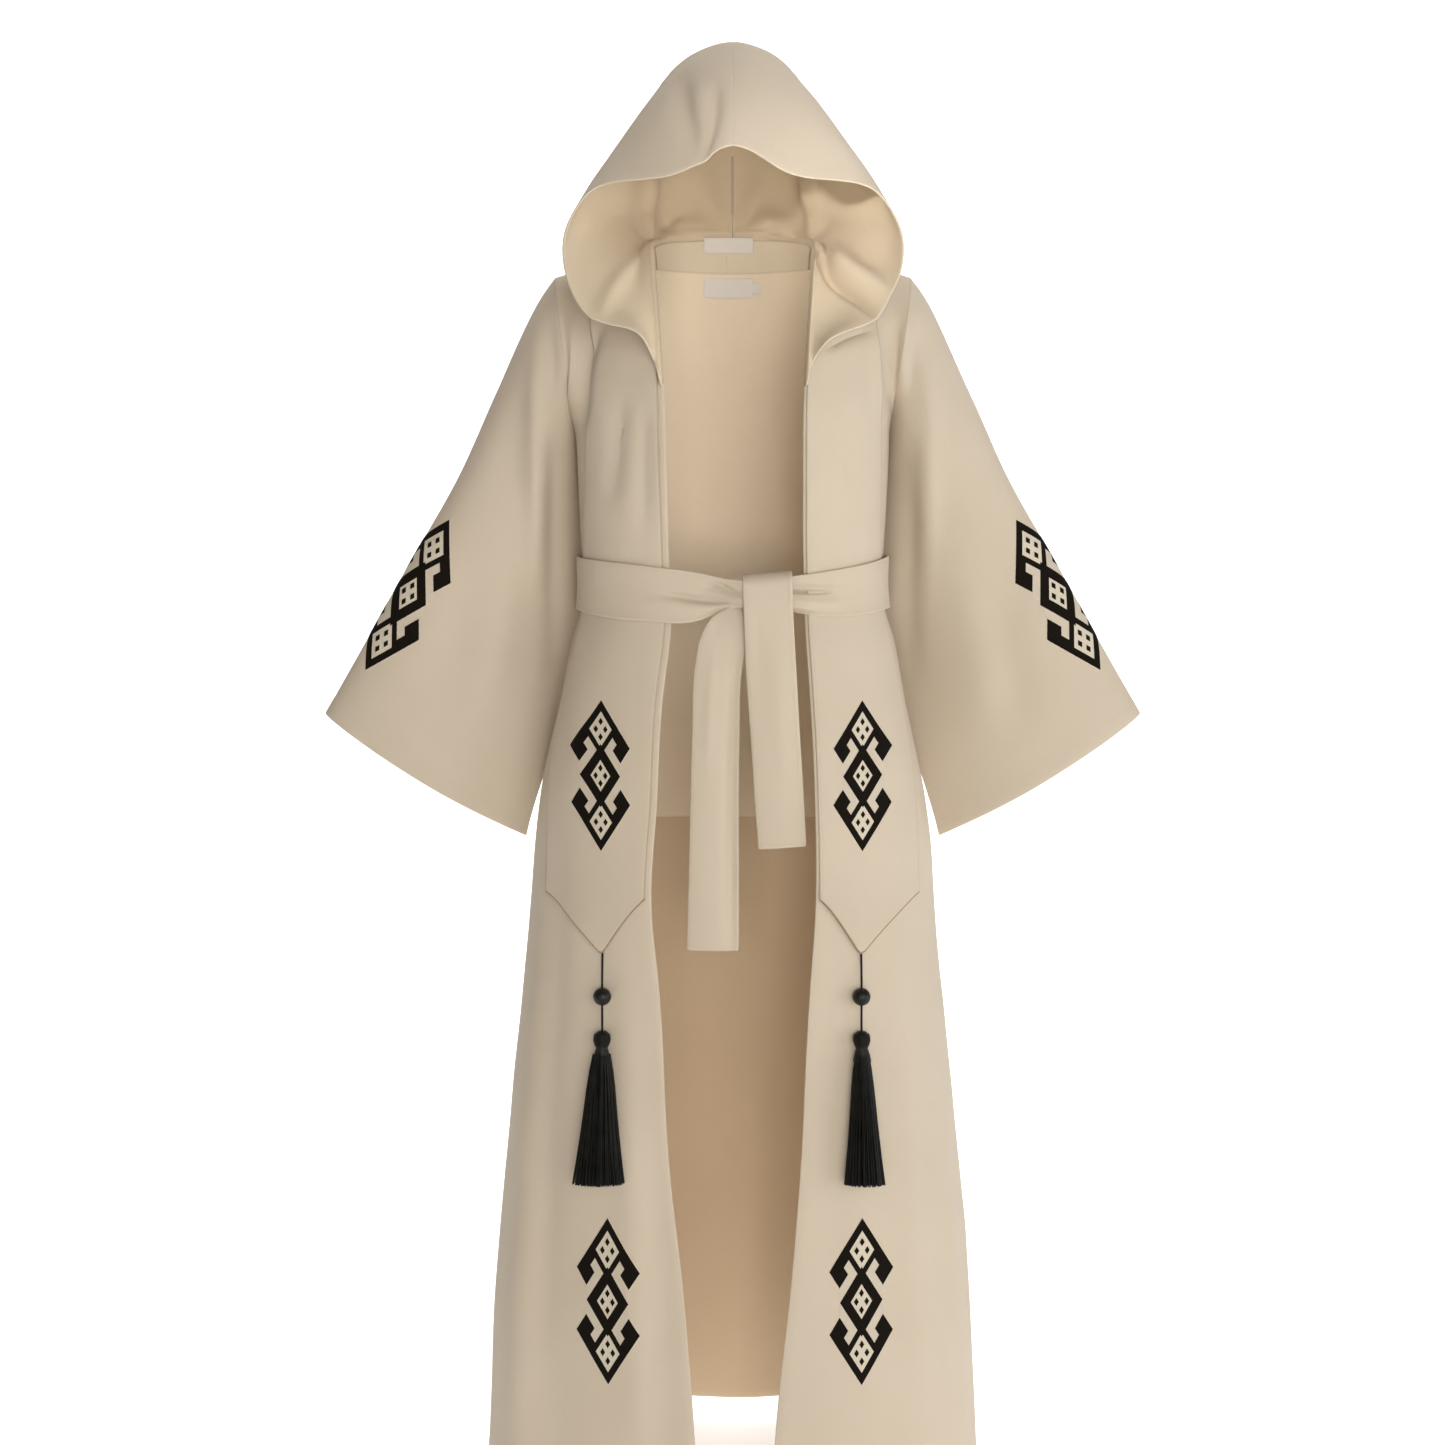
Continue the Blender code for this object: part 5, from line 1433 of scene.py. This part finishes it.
class Nodes:
    """A material's nodes: each call adds one and sets its inputs, from values or other nodes' outputs."""

    def __init__(self, name):
        self.material = bpy.data.materials.new(name)
        self.material.use_nodes = True
        self.tree = self.material.node_tree
        self.shader = self.tree.nodes["Principled BSDF"]
        materials[name] = self.material

    def add(self, kind, output=0, **inputs):
        settings = {key: inputs.pop(key) for key in list(inputs) if key.islower()}
        node = self.tree.nodes.new(kind)
        for key, value in settings.items():
            setattr(node, key, value)
        for key, value in inputs.items():
            self.plug(node.inputs[int(key[1:])] if key[1:].isdigit() else node.inputs[key], value)
        return node.outputs[output]

    def plug(self, socket, value):
        if isinstance(value, bpy.types.NodeSocket):
            self.tree.links.new(value, socket)
        else:
            socket.default_value = value

    def maths(self, operation, first, second=0.0):
        return self.add("ShaderNodeMath", operation=operation, I0=first, I1=second)

    def noise(self, vector, scale, detail=2.0):
        return self.add("ShaderNodeTexNoise", Vector=vector, Scale=scale, Detail=detail)

    def ramp(self, value, start, end, first, last):
        """Goes from first to last as the value goes from start to end."""
        return self.add("ShaderNodeMapRange", Value=value, I1=start, I2=end, I3=first, I4=last)

    def spread_noise(self, vector, scale):
        """Noise that is stretched along the map's axes."""
        return self.noise(self.add("ShaderNodeMapping", Vector=vector, Scale=scale), 1.0)

    def mix(self, factor, first, second):
        return self.add("ShaderNodeMix", output=2, data_type="RGBA", I0=factor, I6=first, I7=second)

    def bump(self, height, distance, strength=1.0):
        normal = self.add("ShaderNodeBump", Height=height, Distance=distance, Strength=strength)
        self.plug(self.shader.inputs["Normal"], normal)

    def set(self, **values):
        names = {"colour": "Base Color", "roughness": "Roughness", "sheen": "Sheen Weight",
                 "sheen_roughness": "Sheen Roughness", "specular": "Specular IOR Level",
                 "coat": "Coat Weight", "coat_roughness": "Coat Roughness", "anisotropic": "Anisotropic"}
        for key, value in values.items():
            self.plug(self.shader.inputs[names[key]], value)


def wide(colour):
    return (*colour, 1)


def cloth_material(name, colour, slub_colour, pitch=0.0007, sheen=0.12, seam_shade=0.30):
    """Plain-woven cloth: threads over and under, uneven slubs along them, a faint change of tone, and painted
    seam shade.
    """
    nodes = Nodes(name)
    flat = nodes.add("ShaderNodeUVMap", uv_map="cloth")
    parts = nodes.tree.nodes.new("ShaderNodeSeparateXYZ")
    nodes.plug(parts.inputs[0], flat)
    waves = [nodes.maths("SINE", nodes.maths("MULTIPLY", parts.outputs[k], 2 * pi / pitch)) for k in (0, 1)]
    weave = nodes.maths("MULTIPLY", *waves)
    slub, slub_down = (nodes.spread_noise(flat, scale) for scale in ((70, 1500, 1), (1500, 70, 1)))
    place = nodes.add("ShaderNodeTexCoord", output=3)
    tone = nodes.noise(place, 9.0, 3.0)
    amount = nodes.maths("MULTIPLY", slub, 0.45)
    for part, share in ((slub_down, 0.30), (tone, 0.45), (weave, 0.05)):
        amount = nodes.maths("ADD", amount, nodes.maths("MULTIPLY", part, share))
    steep = nodes.ramp(amount, 0.35, 0.85, 0.0, 1.0)
    # Painted shade: the colour turns towards a dark tone along seams and shaded edges, as their shadow would
    seam = nodes.tree.nodes.new("ShaderNodeSeparateXYZ")
    nodes.plug(seam.inputs[0], nodes.add("ShaderNodeUVMap", uv_map="seam"))
    shade = nodes.ramp(seam.outputs[0], PAINTED_SHADE_LINE, PAINTED_SHADE_FADE, seam_shade, 0.0)
    plain = nodes.mix(steep, wide(colour), wide(slub_colour))
    nodes.set(colour=nodes.mix(shade, plain, wide(PAINTED_SEAM_SHADE)), sheen=sheen, sheen_roughness=0.5,
              specular=0.22, roughness=nodes.ramp(tone, 0.3, 0.7, 0.82, 0.92))
    height = nodes.maths("ADD", nodes.maths("MULTIPLY", weave, 0.5), nodes.maths("MULTIPLY", slub, 0.7))
    nodes.bump(height, 0.00016, 0.8)


def yarn_material(name, colour, other, pitch=0.0011, roughness=0.8, sheen=0.1, specular=0.25):
    """Close stitches lying side by side along the motif."""
    nodes = Nodes(name)
    flat = nodes.add("ShaderNodeUVMap", uv_map="cloth")
    parts = nodes.tree.nodes.new("ShaderNodeSeparateXYZ")
    nodes.plug(parts.inputs[0], flat)
    rows = nodes.maths("SINE", nodes.maths("MULTIPLY", parts.outputs[1], 2 * pi / pitch))
    fleck = nodes.spread_noise(flat, (250, 1400, 1))
    nodes.set(colour=nodes.mix(fleck, wide(colour), wide(other)), roughness=roughness, sheen=sheen,
              specular=specular)
    nodes.bump(nodes.maths("ADD", rows, fleck), 0.00018, 0.9)


def thread_material():
    """The stitches' fine thread, without a map of its own: a close fleck in the round."""
    nodes = Nodes("thread")
    fleck = nodes.noise(nodes.add("ShaderNodeTexCoord", output=3), 900.0)
    nodes.set(colour=nodes.mix(fleck, wide(THREAD), wide(ROBE)), roughness=0.7, sheen=0.1, specular=0.3)
    nodes.bump(fleck, 0.00006, 0.5)


def tassel_material():
    """Rayon yarn: dark, with a long soft shine down its strands, from its roughness and painted in lighter
    streaks.
    """
    nodes = Nodes("tassel")
    place = nodes.add("ShaderNodeTexCoord", output=3)
    run = nodes.spread_noise(place, (420, 420, 18))
    broad = nodes.noise(place, 60.0)
    painted_shine = nodes.maths("MULTIPLY", run, broad)
    lift = nodes.ramp(painted_shine, 0.15, 0.40, 0.0, 1.0)
    nodes.set(colour=nodes.mix(lift, wide(TASSEL), wide(PAINTED_SHINE_AND_GRAIN)), specular=0.22, sheen=0.02,
              roughness=nodes.ramp(run, 0.2, 0.8, 0.38, 0.6))
    nodes.bump(run, 0.0001, 0.5)


def bead_material():
    """A wound black bead with a dull lacquer."""
    nodes = Nodes("bead")
    place = nodes.add("ShaderNodeTexCoord", output=3)
    grain = nodes.noise(place, 700.0)
    nodes.set(colour=nodes.mix(grain, wide(BEAD), wide(PAINTED_SHINE_AND_GRAIN)), specular=0.3,
              roughness=nodes.ramp(grain, 0.3, 0.7, 0.32, 0.5))
    nodes.bump(grain, 0.0001, 0.4)


def make_materials():
    # seam_shade sets how dark each cloth's painted seam shade is
    cloth_material("robe", ROBE, ROBE_SLUB, seam_shade=0.12)
    cloth_material("hood", ROBE, ROBE_SLUB, seam_shade=0.0)
    # Inner sides of the body and hood: the robe's own cloth in painted light and warm painted shade
    cloth_material("robe_inside_painted", PAINTED_INSIDE, PAINTED_INSIDE_SLUB, seam_shade=0.7)
    cloth_material("panel", ROBE, ROBE_SLUB, seam_shade=0.8)
    cloth_material("hood_inside_painted", PAINTED_HOOD_INSIDE, PAINTED_HOOD_INSIDE_SLUB, seam_shade=0.8)
    cloth_material("lining", LINING, LINING_SLUB, 0.0006, seam_shade=0.15)
    # The facing: the lining's cloth, darker as painted shade
    cloth_material("facing", PAINTED_SHADE_FACING, PAINTED_SHADE_FACING_SLUB, 0.0006, seam_shade=0.15)
    cloth_material("tape", TAPE, TAPE_SLUB, 0.0005, 0.0)
    yarn_material("yarn_edge", YARN_EDGE, ROBE)
    yarn_material("yarn_dark", YARN_DARK, YARN_WORN, sheen=0.0, specular=0.08)
    yarn_material("yarn_pale", YARN_PALE, ROBE)
    thread_material()
    tassel_material()
    bead_material()
    stage = Nodes("stage")
    grain = stage.noise(stage.add("ShaderNodeTexCoord", output=3), 3.0)
    stage.set(colour=stage.mix(grain, wide(STAGE), (0.92, 0.92, 0.92, 1)), roughness=0.9, specular=0.1)
    # Painted light: the stage glows by itself, more towards the back, keeping the backdrop white and
    # lightening the garment's shadow on the floor behind it
    place = stage.add("ShaderNodeSeparateXYZ", output=1, Vector=stage.add("ShaderNodeTexCoord", output=3))
    glow = stage.ramp(place, *STAGE_GLOW_DEPTHS, 0.0, STAGE_GLOW)
    stage.shader.inputs["Emission Color"].default_value = (1, 1, 1, 1)
    stage.plug(stage.shader.inputs["Emission Strength"], glow)


# Finished cloths: their nodes, slot, outer and inner looks, how they are held and what they rest on, where
# {} is the cloth's own side
CLOTHS = [
    (("back", "front_left", "front_right"), "robe_cloth", "robe", "robe_inside_painted", "draped", ()),
    (("sleeve_left", "sleeve_right"), "robe_cloth", "robe", "robe", "draped", ()),
    (("hood_left", "hood_right"), "hood_cloth", "hood", "hood_inside_painted", "draped", ()),
    (("over_panel_left", "over_panel_right"), "panel_cloth", "panel", "robe", "draped", ("front_{}",)),
    (("half_lining",), "lining_cloth", "lining", "lining", "draped", ("back",)),
    (("neck_facing",), "lining_cloth", "facing", "facing", "draped", ("back",)),
    (("hood_label",), "label_cloth", "tape", "tape", "laid", ("neck_facing",)),
    (("neck_label", "size_tab"), "label_cloth", "tape", "tape", "laid", ("half_lining",)),
    (("belt_wrap",), "sash_cloth", "robe", "robe", "gathered", ("front_left", "front_right", "back")),
    (("belt_knot",), "sash_cloth", "robe", "robe", "gathered", ("belt_wrap",)),
    (("belt_tail_short", "belt_tail_long"), "sash_cloth", "robe", "robe", "draped", ("belt_wrap",)),
]


def finish_cloths():
    for names, slot, outer, inner, held, rests_on in CLOTHS:
        for name in names:
            made = panels[name]
            verts, faces, flat, inside = wall_mesh(made)
            piece = mesh_piece(f"{name}_cloth", slot, [outer, inner], verts, faces, flat, inside, made.tip)
            if name != "size_tab":
                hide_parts(name)
            size, area = cut_size(made)


def cut_size(made):
    """The rectangle that a piece is cut from, and the area of its flat form."""
    flat = cut_places(made)
    width = float(flat[..., 0].max(axis=1).max() - flat[..., 0].min(axis=1).min())
    length = float(flat[..., 1].max())
    grid = made.grid
    if made.ring:
        grid = np.concatenate([grid, grid[:, :1]], axis=1)
    one = np.cross(grid[1:, 1:] - grid[:-1, :-1], grid[1:, :-1] - grid[:-1, 1:])
    area = float(np.linalg.norm(one, axis=-1).sum() / 2)
    size = (round(width, 4), round(length, 4))
    return size, min(area, size[0] * size[1])


# Stage, light and camera

# How strongly the stage glows as painted light, and the depths over which its glow rises from none to full
STAGE_GLOW = 0.60
STAGE_GLOW_DEPTHS = (-0.7, 0.1)
FLOOR_Z = -1.450
FLOOR_FRONT = -4.0
FLOOR_BACK = 3.6
BACKDROP_TOP = 4.0
BACKDROP_BEND = 1.2
STAGE_HALF = 6.0
CAMERA_AT = (-0.012, -3.0, -0.278)
CAMERA_TURN = (np.radians(85), 0, 0)
LENS = 63.88
Lamp = namedtuple("Lamp", "name at aim size spread watts colour")
LAMPS = [
    Lamp("front", (1.15, -3.4, -0.6), (0, 0, -0.4), 2.3, pi, 46, (1.0, 0.98, 0.93)),
    Lamp("middle", (0.0, -3.3, -0.6), (0, 0, -0.5), 1.0, pi, 24, (1.0, 0.95, 0.86)),
    Lamp("right", (3.3, -1.4, -0.5), (0, 0, -0.6), 2.0, pi, 34, (0.95, 0.98, 1.0)),
    Lamp("hood side", (-1.1, -2.3, 0.45), (0.140, -0.06, 0.080), 0.2, 0.12, 0.105, (1.0, 0.97, 0.92)),
    Lamp("hood top", (0.5, -2.6, 1.3), (0, 0, 0.12), 1.0, 0.7, 0.78, (1.0, 1.0, 1.0)),
    Lamp("top", (0.2, 0.2, 2.6), (0, 0, 0), 1.8, pi, 7, (1.0, 1.0, 1.0)),
    Lamp("behind", (0.0, 2.2, 2.6), (0, 3.2, -1.0), 3.0, pi, 110, (1.0, 1.0, 1.0)),
]
WORLD = 0.21
AMBIENT = (1.0, 0.90, 0.78)


def make_stage():
    """A pale floor that curves up into a backdrop."""
    bend = np.linspace(0, pi / 2, 13)
    ys = [FLOOR_FRONT, *(FLOOR_BACK + BACKDROP_BEND * np.sin(bend))]
    zs = [FLOOR_Z, *(FLOOR_Z + BACKDROP_BEND * (1 - np.cos(bend)))]
    ys.append(ys[-1])
    zs.append(BACKDROP_TOP)
    verts = np.array([(x, y, z) for y, z in zip(ys, zs) for x in (-STAGE_HALF, STAGE_HALF)])
    faces = [np.array([2 * k, 2 * k + 1, 2 * k + 3, 2 * k + 2]) for k in range(len(ys) - 1)]
    mesh_piece("studio_floor", None, ["stage"], verts, faces)


def aim(obj, at, target):
    obj.location = at
    way = np.array(target, float) - np.array(at, float)
    obj.rotation_euler = (np.arccos(-way[2] / np.linalg.norm(way)), 0, np.arctan2(way[1], way[0]) - pi / 2)


def make_lights():
    for row in LAMPS:
        lamp = bpy.data.lights.new(row.name, "AREA")
        lamp.size = row.size
        lamp.spread = row.spread
        lamp.energy = row.watts
        lamp.color = row.colour
        obj = bpy.data.objects.new(row.name, lamp)
        bpy.context.scene.collection.objects.link(obj)
        aim(obj, row.at, row.aim)
    world = bpy.data.worlds.new("studio")
    world.use_nodes = True
    world.node_tree.nodes["Background"].inputs["Color"].default_value = wide(AMBIENT)
    world.node_tree.nodes["Background"].inputs["Strength"].default_value = WORLD
    bpy.context.scene.world = world


def make_camera():
    data = bpy.data.cameras.new("camera")
    data.lens = LENS
    camera = bpy.data.objects.new("camera", data)
    camera.location = CAMERA_AT
    camera.rotation_euler = CAMERA_TURN
    bpy.context.scene.collection.objects.link(camera)
    bpy.context.scene.camera = camera
    bpy.context.scene.view_settings.view_transform = "Standard"


make_materials()
make_back()
make_fronts()
make_sleeves()
make_hood()
make_over_panels()
make_linings()
make_labels()
make_belt()
make_knot()
make_tails()
sew()
finish_cloths()
make_stitching()
make_motifs()
make_cords()
make_beads()
make_tassels()
make_stage()
make_lights()
make_camera()
